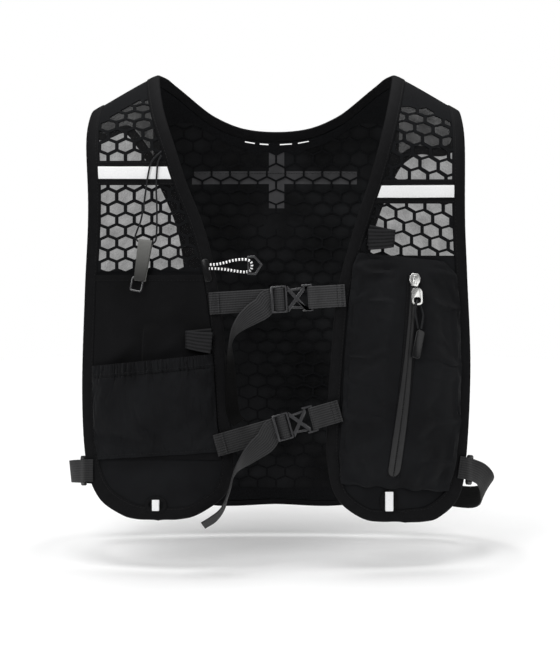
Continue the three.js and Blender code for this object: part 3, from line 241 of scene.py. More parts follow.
def dress(piece, slot, *nodes):
    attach(piece, "root")
    if nodes:
        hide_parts(*nodes)
    return piece


# Faces of a closed tube made of rings of points
def ring_faces(count, sides):
    faces = [(i * sides + s, i * sides + (s + 1) % sides, (i + 1) * sides + (s + 1) % sides, (i + 1) * sides + s)
             for i in range(count - 1) for s in range(sides)]
    return faces + [tuple(range(sides)), tuple((count - 1) * sides + s for s in reversed(range(sides)))]


# Directions along a line and two that turn with it, for sections along it
def line_frames(line):
    along = unit(np.gradient(line, axis=0))
    side = np.zeros_like(line)
    start = np.array([0.3, 0.2, 1.0])
    for i, direction in enumerate(along):
        start = start - direction * start.dot(direction)
        start = start / np.linalg.norm(start)
        side[i] = start
    return along, side, np.cross(along, side)


def cord_tube(name, line, diameter, material, sides=12):
    along, side, other = line_frames(line)
    angles = np.arange(sides) * 2 * np.pi / sides
    ring = np.cos(angles)[None, :, None] * side[:, None] + np.sin(angles)[None, :, None] * other[:, None]
    points = line[:, None] + ring * diameter / 2
    length = lengths_along(line)
    around = np.abs(np.linspace(-1, 1, sides, endpoint=False)) * diameter * np.pi / 2
    uv = np.stack(np.broadcast_arrays(length[:, None], around[None, :]), -1)
    return build(name, points.reshape(-1, 3), ring_faces(len(line), sides), material, uv.reshape(-1, 2))


def line_length(line):
    return float(lengths_along(line)[-1]) * MM


# Braided polyester: slanted strands, drawn at 1.2 mm where the real ones are about 0.4 mm
def braid_material(name, dark, light, strand):
    made, tree = new_material(name)
    flat = add(tree, "ShaderNodeUVMap", uv_map="pattern").outputs["UV"]
    turned = add(tree, "ShaderNodeMapping", {"Vector": flat, "Rotation": (0, 0, 0.7)})
    strands = add(tree, "ShaderNodeTexWave", {
        "Vector": turned.outputs[0], "Scale": math.pi / 10 / strand, "Distortion": 0.6}, bands_direction="X")
    ramp = add(tree, "ShaderNodeValToRGB", {"Fac": strands.outputs["Fac"]})
    ramp.color_ramp.elements[0].color = linear(dark)
    ramp.color_ramp.elements[1].color = linear(light)
    bump = add(tree, "ShaderNodeBump", {"Height": strands.outputs["Fac"], "Distance": 0.0002, "Strength": 0.7})
    shader = add(tree, "ShaderNodeBsdfPrincipled", {
        "Base Color": ramp.outputs["Color"], "Normal": bump.outputs[0], "Roughness": 0.62, "Specular IOR Level": 0.25})
    add(tree, "ShaderNodeOutputMaterial", {"Surface": shader.outputs[0]})
    return made


braided_polyester = braid_material("braided_polyester_cord", "#0c0c0d", "#26272a", 0.0012)
route = np.array(SHOULDER_CORD_ROUTE, float)
shoulder_line = smooth_line(cloth_point(route[:, 0], run_to(route[:, 0], route[:, 1]), route[:, 2]), 0.8)
shoulder_cord = dress(cord_tube("shoulder_cord_loop", shoulder_line, SHOULDER_CORD["diameter"], braided_polyester),
                      "cord", "shoulder_cord")

# Bungee: an elastic cord with a dotted braid, doubled through a plastic hook. Both ends are sewn under
# a small tab on the left front binding.
BUNGEE = {"diameter": 2.4, "pitch": 2.9}
BUNGEE_ROUTE = [  # x, y and z
    (-60, -87.8, -170.9), (-54, -88.2, -170.6), (-47, -88.6, -169.3), (-40, -88.9, -167.4), (-32, -89.3, -166.2),
    (-26.5, -89.5, -166.4), (-22.8, -88.6, -168), (-21.6, -87, -171.5), (-22.6, -85.2, -175.2), (-26.5, -84.3, -177.3),
    (-33, -85, -177), (-41, -86.4, -175.8), (-48, -87.6, -174.8), (-54, -88, -174.4), (-60, -87.8, -174.3),
]
# Dotted braid: white strands come up between black ones at an even pitch along the cord
dotted_braid, tree = new_material("dotted_elastic_cord")
flat = add(tree, "ShaderNodeUVMap", uv_map="pattern").outputs["UV"]
dots = add(tree, "ShaderNodeTexWave", {
    "Vector": flat, "Scale": math.pi / 10 / (BUNGEE["pitch"] * MM), "Distortion": 0.3}, bands_direction="X")
tone = add(tree, "ShaderNodeValToRGB", {"Fac": dots.outputs["Fac"]})
tone.color_ramp.elements[0].color = linear("#0c0c0d")
tone.color_ramp.elements[0].position = 0.5
tone.color_ramp.elements[1].color = linear("#f4f4f4")
tone.color_ramp.elements[1].position = 0.66
bump = add(tree, "ShaderNodeBump", {"Height": dots.outputs["Fac"], "Distance": 0.0002, "Strength": 0.6})
# The emission is painted light: the cord glows faintly in its own colour, most on the white strands
shader = add(tree, "ShaderNodeBsdfPrincipled", {
    "Base Color": tone.outputs["Color"], "Normal": bump.outputs[0], "Roughness": 0.6, "Specular IOR Level": 0.3,
    "Emission Color": tone.outputs["Color"], "Emission Strength": 0.25})
add(tree, "ShaderNodeOutputMaterial", {"Surface": shader.outputs[0]})
bungee_line = smooth_line(BUNGEE_ROUTE, 0.8)
bungee_cord = dress(cord_tube("bungee_loop", bungee_line, BUNGEE["diameter"], dotted_braid), "speckled", "bungee_cord")

# Zip cord: a short braided cord knotted into the zip's pull as a loop, with both ends moulded into a
# plastic grip. It hangs over the padded pocket of the right front.
ZIP_POCKET = {
    "thick": 1.4, "lift": 2.925, "bulge": 18, "squareness": 2.6, "softness": 0.8, "gather": 1.5, "waves": 4,
    "gather_from": 0.8, "gather_to": 0.96, "height": 220, "width": 115,
}
ZIP_POCKET_SIDES = [  # share of the height, left and right
    (0, 74, 150), (0.06, 69, 161), (0.2, 66, 163.5), (0.45, 62, 164.5), (0.7, 59.5, 164), (0.88, 57, 160), (1, 58, 154),
]
ZIP_POCKET_ENDS = {"left_top": -160, "right_top": -168, "left_bottom": -367, "right_bottom": -374}
ZIP_CORD = {"diameter": 1.8}
ZIP_CORD_ROUTE = [  # x and z as seen from the front, and distance from the pocket
    (127.6, -228.4, 4.6), (126.4, -222, 5.6), (125.2, -216, 7.4), (124.9, -210.5, 8.9), (126, -205.6, 9),
    (127, -203, 6.1),
    (128.4, -205.4, 3.6), (130.8, -210.5, 3.6), (132, -216, 3.8), (131.4, -222, 4.2), (130.2, -228.4, 4.6),
]


def rise(start, end, value):
    share = np.clip((np.asarray(value, float) - start) / (end - start), 0, 1)
    return share * share * (3 - 2 * share)


def mix(start, end, share):
    return start + (end - start) * share


def crown(share):
    return np.maximum(0, 1 - np.abs(2 * share - 1) ** ZIP_POCKET["squareness"]) ** ZIP_POCKET["softness"]


# x, run and lift of the padded pocket's inner face at shares of its height and width
def zip_pocket_at(down, across):
    sides = np.array(ZIP_POCKET_SIDES)
    x = mix(np.interp(down, sides[:, 0], sides[:, 1]), np.interp(down, sides[:, 0], sides[:, 2]), across)
    top = mix(ZIP_POCKET_ENDS["left_top"], ZIP_POCKET_ENDS["right_top"], across)
    z = mix(top, mix(ZIP_POCKET_ENDS["left_bottom"], ZIP_POCKET_ENDS["right_bottom"], across), down)
    wave = np.cos(across * ZIP_POCKET["waves"] * 2 * np.pi) * np.sin(np.pi * across)
    near = rise(ZIP_POCKET["gather_from"], 1, down) * (1 - rise(ZIP_POCKET["gather_to"], 1, down))
    lift = ZIP_POCKET["lift"] + ZIP_POCKET["bulge"] * crown(across) * crown(down) + ZIP_POCKET["gather"] * wave * near
    return x, run_to(x, z), lift


def zip_pocket_point(down, across, out):
    x, run, lift = zip_pocket_at(np.asarray(down, float), np.asarray(across, float))
    return cloth_point(x, run, lift + ZIP_POCKET["thick"] + out)


# Shares of the padded pocket whose outside shows at x and z from the front
def zip_pocket_spot(x, z, out, rounds=25):
    x, z, out = np.broadcast_arrays(*(np.asarray(v, float) for v in (x, z, out)))
    down, across = np.full(x.shape, 0.5), np.full(x.shape, 0.5)
    for _ in range(rounds):
        point = zip_pocket_point(down, across, out)
        down = np.clip(down + (point[..., 2] - z) / ZIP_POCKET["height"], 0, 1)
        across = np.clip(across + (x - point[..., 0]) / ZIP_POCKET["width"], 0, 1)
    return down, across


def on_zip_pocket(x, z, out):
    return zip_pocket_point(*zip_pocket_spot(x, z, out), out)


route = np.array(ZIP_CORD_ROUTE, float)
zip_line = smooth_line(on_zip_pocket(route[:, 0], route[:, 1], route[:, 2]), 0.6)
zip_cord = dress(cord_tube("zip_cord_loop", zip_line, ZIP_CORD["diameter"], braided_polyester), "cord", "zip_cord")

# Bindings: woven polyester tape folded over the raw edges of the cloth and sewn through near its inner
# edge. One piece goes round the neck and down both fronts, and one along each side and half of the hem.
BINDING = {
    "width": 11, "back_width": 5, "nape_width": 8, "narrow_from": -10, "narrow_to": -60, "pucker": 0.1,
    "pucker_step": 7, "pucker_beat": 61, "seam": 1.7, "seam_lift": 2.25,
}
LEFT_FRONT_EDGE = [
    (-106, -401), (-88, -400), (-69, -395), (-45, -377), (-38, -352), (-42, -308), (-45, -262), (-49, -214),
    (-62, -146),
    (-87, -77), (-102, -27),
]
RIGHT_FRONT_EDGE = [
    (116, -403), (96, -402.2), (76, -398.4), (54, -380), (46, -348), (46, -305), (50, -245), (56, -190), (74, -125),
    (92, -65),
    (102, -20),
]
LEFT_SIDE_EDGE = [
    (-106, -401), (-124, -400), (-140, -395.5), (-160, -380), (-171, -348), (-174.5, -285), (-172, -195), (-169, -122),
    (-171, -58),
]
RIGHT_SIDE_EDGE = [
    (116, -403), (133, -402.2), (147, -398.2), (164, -381), (171, -348), (175, -265), (172, -180), (170, -125),
    (170, -58),
]
BACK_NECKLINE = [(96, -4), (86, -12), (70, -25), (54, -36), (30, -45.5), (0, -48.5)]
RIGHT_SHOULDER_BACK = [(167, -58), (158, -69), (146, -71), (132, -69), (120, -75), (112, -84), (102, -106)]
LEFT_SHOULDER_BACK = [(167, -50), (160, -57), (150, -54), (138.5, -50), (128, -61), (117, -78), (103, -106)]
BACK_HEM = [
    (90, -140), (84, -180), (84, -220), (92, -270), (114, -320), (140, -354), (149, -370), (144, -383), (126, -389),
    (60, -390),
    (0, -389),
]
NECK_X, SHOULDER_X = 105, 166


def in_front(rows):
    return [(x, float(run_to(x, z))) for x, z in rows]


def behind(rows, side):
    return [(side * x, -float(run_to(x, z))) for x, z in rows]


neck_path = smooth_line(
    in_front(LEFT_FRONT_EDGE) + [(-NECK_X, 0)] + behind(BACK_NECKLINE, -1) + behind(BACK_NECKLINE[:-1], 1)[::-1]
    + [(NECK_X, 0)] + in_front(RIGHT_FRONT_EDGE)[::-1], 3, power=0)
left_path = smooth_line(in_front(LEFT_SIDE_EDGE) + [(-SHOULDER_X, 0)] + behind(LEFT_SHOULDER_BACK + BACK_HEM, -1), 3,
                        power=0)
right_path = smooth_line(in_front(RIGHT_SIDE_EDGE) + [(SHOULDER_X, 0)] + behind(RIGHT_SHOULDER_BACK + BACK_HEM, 1), 3,
                         power=0)
EDGES = [("neck_binding", neck_path, 1), ("left_side_binding", left_path, -1), ("right_side_binding", right_path, 1)]


def edge_width(name, path):
    behind_width = BINDING["nape_width" if name == "neck_binding" else "back_width"]
    return mix(BINDING["width"], behind_width, 1 - rise(BINDING["narrow_to"], BINDING["narrow_from"], path[:, 1]))


# Moves a path over the cloth, to the hand on which the cloth lies
def shift_path(path, distance, turn):
    along = np.gradient(path, axis=0)
    along[0, 1] = along[-1, 1] = 0
    along = unit(along)
    return path + turn * np.asarray(distance)[..., None] * np.stack([along[:, 1], -along[:, 0]], -1)


# Woven tape: fine cross ribs, drawn at 1 mm where the real ones are about 0.5 mm
def tape_material(name, dark, light, rib, gloss):
    made, tree = new_material(name)
    flat = add(tree, "ShaderNodeUVMap", uv_map="pattern").outputs["UV"]
    ribs = add(tree, "ShaderNodeTexWave", {"Vector": flat, "Scale": math.pi / 10 / rib, "Distortion": 0.4},
               bands_direction="X")
    lint = add(tree, "ShaderNodeTexNoise", {"Vector": flat, "Scale": 160.0, "Detail": 4.0, "Roughness": 0.65})
    blend = add(tree, "ShaderNodeMath", {0: ribs.outputs["Fac"], 1: lint.outputs["Fac"]}, operation="MULTIPLY")
    ramp = add(tree, "ShaderNodeValToRGB", {"Fac": blend.outputs[0]})
    ramp.color_ramp.elements[0].color = linear(dark)
    ramp.color_ramp.elements[1].color = linear(light)
    ramp.color_ramp.elements[1].position = 0.7
    bump = add(tree, "ShaderNodeBump", {"Height": ribs.outputs["Fac"], "Distance": 0.00012, "Strength": 0.6})
    shader = add(tree, "ShaderNodeBsdfPrincipled", {
        "Base Color": ramp.outputs["Color"], "Normal": bump.outputs[0], "Roughness": 0.78, "Specular IOR Level": gloss})
    add(tree, "ShaderNodeOutputMaterial", {"Surface": shader.outputs[0]})
    return made


# Stitches: short rounded threads set along a seam line, each with a little of its own length
def stitch_tree():
    made = bpy.data.node_groups.new("stitch_row", "GeometryNodeTree")
    made.interface.new_socket("Seam", in_out="INPUT", socket_type="NodeSocketGeometry")
    for name in ("Pitch", "Length", "Thread"):
        made.interface.new_socket(name, in_out="INPUT", socket_type="NodeSocketFloat")
    made.interface.new_socket("Finish", in_out="INPUT", socket_type="NodeSocketMaterial")
    made.interface.new_socket("Stitches", in_out="OUTPUT", socket_type="NodeSocketGeometry")
    given = add(made, "NodeGroupInput")
    line = add(made, "GeometryNodeMeshToCurve", {0: given.outputs["Seam"]})
    points = add(made, "GeometryNodeResampleCurve", {"Curve": line.outputs[0], "Length": given.outputs["Pitch"]},
                 mode="LENGTH")
    tangent = add(made, "GeometryNodeInputTangent")
    turn = add(made, "FunctionNodeAlignRotationToVector", {"Vector": tangent.outputs[0]}, axis="Z")
    vary = add(made, "FunctionNodeRandomValue", {2: 0.85, 3: 1.1, "Seed": 7})
    long = add(made, "ShaderNodeMath", {0: given.outputs["Length"], 1: vary.outputs[1]}, operation="MULTIPLY")
    size = add(made, "ShaderNodeCombineXYZ",
               {0: given.outputs["Thread"], 1: given.outputs["Thread"], 2: long.outputs[0]})
    thread = add(made, "GeometryNodeMeshUVSphere", {"Segments": 6, "Rings": 4, "Radius": 0.5})
    rows = add(made, "GeometryNodeInstanceOnPoints", {
        "Points": points.outputs[0], "Instance": thread.outputs[0], "Rotation": turn.outputs[0],
        "Scale": size.outputs[0]})
    solid = add(made, "GeometryNodeRealizeInstances", {0: rows.outputs[0]})
    soft = add(made, "GeometryNodeSetShadeSmooth", {0: solid.outputs[0]})
    painted = add(made, "GeometryNodeSetMaterial", {"Geometry": soft.outputs[0], "Material": given.outputs["Finish"]})
    add(made, "NodeGroupOutput", {0: painted.outputs[0]})
    return made


# Object made by a tree from lines in millimetres: the result is a plain mesh
def along_lines(name, lines, group, **inputs):
    mesh = bpy.data.meshes.new(name)
    points, edges = [], []
    for line in lines:
        edges += [(len(points) + i, len(points) + i + 1) for i in range(len(line) - 1)]
        points += (np.asarray(line) * MM).tolist()
    mesh.from_pydata(points, edges, [])
    made = bpy.data.objects.new(name, mesh)
    scene.collection.objects.link(made)
    modifier = made.modifiers.new("rows", "NODES")
    modifier.node_group = group
    for item in group.interface.items_tree:
        if item.item_type == "SOCKET" and item.in_out == "INPUT" and item.name in inputs:
            modifier[item.identifier] = inputs[item.name]
    result = bpy.data.meshes.new_from_object(made.evaluated_get(bpy.context.evaluated_depsgraph_get()))
    made.modifiers.clear()
    made.data = result
    return made


woven_tape = tape_material("woven_polyester_tape", "#0a0a0b", "#1b1b1d", 0.001, 0.1)
# Sewing thread: twisted polyester, a little glossier than the tape
sewing_thread = braid_material("polyester_sewing_thread", "#121213", "#2b2c2f", 0.0008)
stitches = stitch_tree()


# Rows of stitches along seams, with the sizes in millimetres
def sew(name, lines, slot, pitch, length, thread=0.5, finish=sewing_thread):
    dress(along_lines(name, lines, stitches, Pitch=pitch * MM, Length=length * MM, Thread=thread * MM, Finish=finish),
          slot)


SECTION = [  # share of the width, millimetres more, and lift
    (0, 0, 0.2), (0, 0.3, -0.5), (0, 1.0, -0.8), (1, -0.8, -0.8), (1, -0.1, -0.4), (1, 0, 0.4), (1, 0, 1.6),
    (1, -0.35, 2.15), (1, -0.9, 2.3), (1, -1.7, 2.1), (1, -2.6, 2.4), (0.5, 0, 2.5), (0, 2.0, 2.4), (0, 0.8, 2.0),
    (0, 0.15, 1.2),
]
seams = []
for name, path, turn in EDGES:
    width = edge_width(name, path)
    along = lengths_along(path)
    pucker = BINDING["pucker"] * np.sin(along * 2 * np.pi / BINDING["pucker_step"])
    pucker = pucker * np.sin(along * 2 * np.pi / BINDING["pucker_beat"])
    rings, around = [], []
    for share, more, lift in SECTION:
        line = shift_path(path, share * width + more, turn)
        rings.append(cloth_point(line[:, 0], line[:, 1], lift + pucker * (lift > 0)))
        around.append((share * BINDING["width"] + more) + (20 if lift > 1 else 0))
    points = np.stack(rings, 1).reshape(-1, 3)
    uv = np.stack(np.broadcast_arrays(along[:, None], np.array(around)[None, :]), -1).reshape(-1, 2)
    dress(build(name + "_tape", points, ring_faces(len(path), len(SECTION)), woven_tape, uv), "tape", name)
    line = shift_path(path, width - BINDING["seam"], turn)
    seams.append(cloth_point(line[:, 0], line[:, 1], np.full(len(line), BINDING["seam_lift"])))
sew("binding_stitches", seams, "tape", 3.2, 2.3, 0.55)

# Shoulder nets: a knitted polyester net of hexagon cells, each closed by a sheer mesh of fine threads.
# The edges run in under the bindings, and the lower edge is sewn to the front panel.
NET = {
    "thick": 1.2, "lift": 0.2, "start": 46, "rim": 0.5, "least": 14, "rows": 9, "columns": 6, "under": 4,
    "film_lift": 0.6, "film": 0.3, "spacing": 7,
}
NETS = {
    "left": {"hand": -1, "bottom": -177, "pitch": 15.8, "row": 10.2, "rib": 2.8, "tilt": -0.035, "slip": 0, "x": -151,
             "run": 129.5, "level_x": -135, "ribbon": -88.5},
    "right": {"hand": 1, "bottom": -163, "pitch": 16.5, "row": 10.9, "rib": 2.8, "tilt": 0.135, "slip": -1.25, "x": 116,
              "run": 142.2, "level_x": 140, "ribbon": -105},
}
RIBBON = {"height": 21.6, "thick": 1, "lift": 1.75, "strip_height": 10.8, "strip_thick": 0.8, "strip_lift": 3.1}


def height_of(line):
    return form_point(line[:, 0], line[:, 1])[:, 2]


# Part of a path in front of the ridge, from the bottom of a front panel up to the ridge
def up_to_ridge(path):
    count = int(np.argmax(path[:, 1] <= 0))
    last, first = path[count - 1], path[count]
    share = last[1] / (last[1] - first[1])
    return np.vstack([path[:count], mix(last, first, share)])


# Lines of each front panel at a distance inside its edges
def front_lines(inset):
    shifted = {name: shift_path(path, edge_width(name, path) + inset, turn) for name, path, turn in EDGES}
    neck = shifted["neck_binding"]
    return {
        "left": {"front": up_to_ridge(neck), "side": up_to_ridge(shifted["left_side_binding"])},
        "right": {"front": up_to_ridge(neck[::-1]), "side": up_to_ridge(shifted["right_side_binding"])},
    }


def at_height(line, z):
    return np.interp(z, height_of(line), line[:, 0])


BELOW_ALL, ABOVE_ALL = -999, 99


def between(line, low, high):
    z = height_of(line)
    kept = line[(z > low) & (z < high)]
    ends = []
    for level in (low, high):
        x = float(at_height(line, level))
        ends.append([x, float(run_to(x, level))])
    found = [kept] if high > z.max() else [kept, [ends[1]]]
    return np.vstack(([[ends[0]]] if low > z.min() else []) + found)


def clip(corners, inside):
    kept = []
    for before, corner in zip(np.roll(corners, 1, axis=0), corners):
        start, end = inside(before), inside(corner)
        if start * end < 0:
            kept.append(mix(before, corner, start / (start - end)))
        if end >= 0:
            kept.append(corner)
    return np.array(kept)


def area_of(corners):
    x, y = corners[:, 0], corners[:, 1]
    return abs(np.dot(x, np.roll(y, -1)) - np.dot(y, np.roll(x, -1))) / 2


# Hexagon cells whose rows are level as seen from the front, each clipped to a zone given by functions
def honeycomb(net, zone, rows, columns, way=1):
    found = []
    across_share, down_share = 1 - net["rib"] / net["pitch"], 1 - net["rib"] / (4 / 3 * net["row"])
    angles = np.arange(7) * np.pi / 3 + np.pi / 6
    corner = np.stack([np.cos(angles) * net["pitch"] * across_share / math.sqrt(3),
                       np.sin(angles) * net["row"] * 2 / 3 * down_share], -1)
    rim = np.vstack([mix(a, b, np.arange(4)[:, None] / 4) for a, b in zip(corner, corner[1:])])
    for row in range(-rows, rows + 1):
        for column in range(-columns, columns + 1):
            reach = (column + (0.5 if row % 2 else 0)) * net["pitch"] + row * net["slip"] + rim[:, 0]
            down = row * net["row"] + rim[:, 1]
            level = form_point(net["level_x"], np.maximum(net["run"] + down + net["tilt"] * reach, 0))[:, 2]
            corners = np.stack([net["x"] + reach, way * run_to(net["x"] + reach, level)], -1)
            for inside in zone:
                corners = clip(corners, inside) if len(corners) > 2 else corners
            if len(corners) > 2 and area_of(corners) > NET["least"]:
                found.append(corners)
    return found


# Points around a closed outline, anticlockwise: its corners are kept and its long sides get steps
def closed_steps(corners, step):
    parts = []
    for start, end in zip(corners, np.roll(corners, -1, axis=0)):
        count = max(1, math.ceil(np.linalg.norm(end - start) / step))
        parts.append(mix(start, end, np.arange(count)[:, None] / count))
    steps = np.vstack(parts)
    turned = np.dot(steps[:, 0], np.roll(steps[:, 1], -1)) - np.dot(steps[:, 1], np.roll(steps[:, 0], -1))
    return steps if turned > 0 else steps[::-1]


# Points of a level edge across a panel
def level_edge(start, end, z):
    x = np.linspace(start, end, 32)[1:-1]
    return np.stack([x, run_to(x, z)], -1)


# Cloth cut flat to an outline with holes, laid over the form as a thin closed wall
def cut_cloth(name, outline, holes, lift, thick, material, spacing, wave=None):
    loops = [closed_steps(np.asarray(outline), spacing * 0.6)]
    loops += [closed_steps(hole, 2.4) for hole in holes]
    low, high = loops[0].min(0), loops[0].max(0)
    grid = np.stack(np.meshgrid(*(np.arange(low[i], high[i], spacing) for i in (0, 1))), -1).reshape(-1, 2)
    rims = np.vstack(loops)
    keep = np.array([np.min(np.sum((rims - p) ** 2, 1)) > (0.3 * spacing) ** 2 for p in grid])
    flat = np.vstack([rims, grid[keep]])
    starts = np.cumsum([0] + [len(loop) for loop in loops])
    polygons = [list(range(starts[i], starts[i + 1])) for i in range(len(loops))]
    made = geometry.delaunay_2d_cdt([Vector(p) for p in flat], [], polygons, 0, 1e-4)
    flat = np.array([tuple(v) for v in made[0]])
    triangles = [tuple(face) for face, source in zip(made[2], made[5]) if source and list(source) == [0]]
    used = sorted({i for face in triangles for i in face})
    index = {old: new for new, old in enumerate(used)}
    flat = flat[used]
    triangles = [tuple(index[i] for i in face) for face in triangles]
    count = len(flat)
    lifts = np.full(count, float(lift)) if wave is None else lift + wave(flat[:, 0], flat[:, 1])
    points = np.vstack([cloth_point(flat[:, 0], flat[:, 1], height) for height in (lifts + thick, lifts)])
    faces = triangles + [tuple(i + count for i in reversed(face)) for face in triangles]
    edges = {}
    for a, b, c in triangles:
        for edge in ((a, b), (b, c), (c, a)):
            edges[edge] = True
    faces += [(b, a, a + count, b + count) for a, b in edges if (b, a) not in edges]
    return build(name, points, faces, material, np.vstack([flat, flat]))


# Knitted net: matt black, with the knit's loops as a fine grain
knitted_net, tree = new_material("knitted_polyester_net")
flat = add(tree, "ShaderNodeUVMap", uv_map="pattern").outputs["UV"]
loops = add(tree, "ShaderNodeTexVoronoi", {"Vector": flat, "Scale": 1 / (1.1 * MM), "Randomness": 0.6})
ramp = add(tree, "ShaderNodeValToRGB", {"Fac": loops.outputs["Distance"]})
ramp.color_ramp.elements[0].color = linear("#1b1c1e")
ramp.color_ramp.elements[1].color = linear("#0b0b0c")
bump = add(tree, "ShaderNodeBump", {"Height": loops.outputs["Distance"], "Distance": 0.0002, "Strength": 0.5},
           invert=True)
shader = add(tree, "ShaderNodeBsdfPrincipled", {
    "Base Color": ramp.outputs["Color"], "Normal": bump.outputs[0], "Roughness": 0.85, "Specular IOR Level": 0.08})
add(tree, "ShaderNodeOutputMaterial", {"Surface": shader.outputs[0]})

# Sheer mesh: fine dark threads with open space between them. The threads are too fine to show, so a
# grain of about 1.5 mm stands for them, and each face of the thin wall lets part of the light through
def sheer_material(name, low, high):
    made, tree = new_material(name)
    flat = add(tree, "ShaderNodeUVMap", uv_map="pattern").outputs["UV"]
    grain = add(tree, "ShaderNodeTexNoise", {"Vector": flat, "Scale": 1 / (1.5 * MM), "Detail": 3.0, "Roughness": 0.7})
    slack = add(tree, "ShaderNodeTexNoise", {"Vector": flat, "Scale": 1 / (14 * MM), "Detail": 2.0})
    both = add(tree, "ShaderNodeMix", {0: 0.55, 2: grain.outputs["Fac"], 3: slack.outputs["Fac"]}, data_type="FLOAT")
    cover = add(tree, "ShaderNodeMapRange", {"Value": both.outputs[0], 1: 0.33, 2: 0.67, 3: low, 4: high})
    threads = add(tree, "ShaderNodeBsdfPrincipled", {
        "Base Color": linear("#161617"), "Roughness": 0.7, "Specular IOR Level": 0.1})
    clear = add(tree, "ShaderNodeBsdfTransparent", {"Color": (1, 1, 1, 1)})
    sheer = add(tree, "ShaderNodeMixShader", {0: cover.outputs[0], 1: clear.outputs[0], 2: threads.outputs[0]})
    add(tree, "ShaderNodeOutputMaterial", {"Surface": sheer.outputs[0]})
    return made


sheer_mesh = sheer_material("sheer_polyester_mesh", 0.38, 0.57)
edge_lines = front_lines(0)
under_lines = front_lines(-NET["under"])


for side, net in NETS.items():
    hand = net["hand"]
    lines, under = edge_lines[side], under_lines[side]
    ends = [float(at_height(under[edge], net["bottom"])) for edge in ("side", "front")]
    outline = np.vstack([between(under["front"], net["bottom"], ABOVE_ALL),
                         between(under["side"], net["bottom"], ABOVE_ALL)[::-1], level_edge(*ends, net["bottom"])])
    side_x = lambda run, line=lines["side"]: np.interp(-run, -line[:, 1], line[:, 0])
    front_x = lambda run, line=lines["front"]: np.interp(-run, -line[:, 1], line[:, 0])
    ribbon_run = lambda x, edge, z=net["ribbon"]: float(run_to(x, z + edge * RIBBON["height"] / 2))
    edges = [lambda p: hand * (side_x(p[1]) - p[0]) - NET["rim"], lambda p: hand * (p[0] - front_x(p[1])) - NET["rim"]]
    above = [lambda p: p[1] - NET["start"], lambda p: ribbon_run(p[0], 0.8) - p[1]]
    below = [lambda p: p[1] - ribbon_run(p[0], -0.8), lambda p: float(run_to(p[0], net["bottom"])) - NET["rim"] - p[1]]
    holes = [cell for zone in (above, below) for cell in honeycomb(net, edges + zone, NET["rows"], NET["columns"])]
    ribs = cut_cloth(side + "_net_ribs", outline, holes, NET["lift"], NET["thick"], knitted_net, NET["spacing"])
    dress(ribs, "net", side + "_net")
    film = cut_cloth(side + "_net_mesh", outline, [], NET["film_lift"], NET["film"], sheer_mesh, NET["spacing"])
    dress(film, "net")

# Front panels: plain-woven black polyester below the nets, down to a round bottom. Their edges run in
# under the bindings, and the pockets are sewn to them.
CLOTH = {"thick": 1.4, "spacing": 6, "wave": 0.7, "wave_length": 60}


def ripple(height, length, seed):
    draw = np.random.default_rng(seed)
    parts = [(draw.uniform(0, np.pi), draw.uniform(0, 2 * np.pi), length * draw.uniform(0.6, 1.7)) for _ in range(6)]

    def wave(x, run):
        total = sum(np.sin((x * math.cos(a) + run * math.sin(a)) * 2 * np.pi / scale + phase)
                    for a, phase, scale in parts)
        return height * total / 3
    return wave


# Woven polyester: a fine plain weave, drawn at 0.9 mm where the real threads are 0.3 mm, and soft wear
def cloth_material(name, dark, light, thread, cross=None, wear_size=0.045):
    made, tree = new_material(name)
    flat = add(tree, "ShaderNodeUVMap", uv_map="pattern").outputs["UV"]
    warp, weft = (add(tree, "ShaderNodeTexWave", {
        "Vector": flat, "Scale": math.pi / 10 / thread, "Distortion": 1.2, "Detail": 1.0}, bands_direction=way)
        for way in "XY")
    weave = add(tree, "ShaderNodeMath", {0: warp.outputs["Fac"], 1: weft.outputs["Fac"]}, operation="MULTIPLY")
    wear = add(tree, "ShaderNodeTexNoise", {"Vector": flat, "Scale": 1 / wear_size, "Detail": 5.0, "Roughness": 0.6})
    both = add(tree, "ShaderNodeMix", {0: 0.7, 2: weave.outputs[0], 3: wear.outputs["Fac"]}, data_type="FLOAT")
    ramp = add(tree, "ShaderNodeValToRGB", {"Fac": both.outputs[0]})
    ramp.color_ramp.elements[0].color = linear(dark)
    ramp.color_ramp.elements[0].position = 0.25
    ramp.color_ramp.elements[1].color = linear(light)
    ramp.color_ramp.elements[1].position = 0.65
    paint = ramp.outputs["Color"]
    if cross:
        paint = cross(tree, flat, paint)
    bump = add(tree, "ShaderNodeBump", {"Height": weave.outputs[0], "Distance": 0.00008, "Strength": 0.5})
    shader = add(tree, "ShaderNodeBsdfPrincipled", {
        "Base Color": paint, "Normal": bump.outputs[0], "Roughness": 0.8, "Specular IOR Level": 0.1,
        "Sheen Weight": 0.04, "Sheen Roughness": 0.5})
    add(tree, "ShaderNodeOutputMaterial", {"Surface": shader.outputs[0]})
    return made


woven_cloth = cloth_material("plain_woven_polyester", "#0e0e10", "#1a1b1d", 0.0009)
for seed, (side, net) in enumerate(NETS.items()):
    under = under_lines[side]
    ends = [float(at_height(under[edge], net["bottom"])) for edge in ("front", "side")]
    outline = np.vstack([between(under["front"], BELOW_ALL, net["bottom"]), level_edge(*ends, net["bottom"]),
                         between(under["side"], BELOW_ALL, net["bottom"])[::-1]])
    piece = cut_cloth(side + "_front_cloth", outline, [], 0, CLOTH["thick"], woven_cloth, CLOTH["spacing"],
                      ripple(CLOTH["wave"], CLOTH["wave_length"], 11 + seed))
    dress(piece, "cloth", side + "_front_panel")

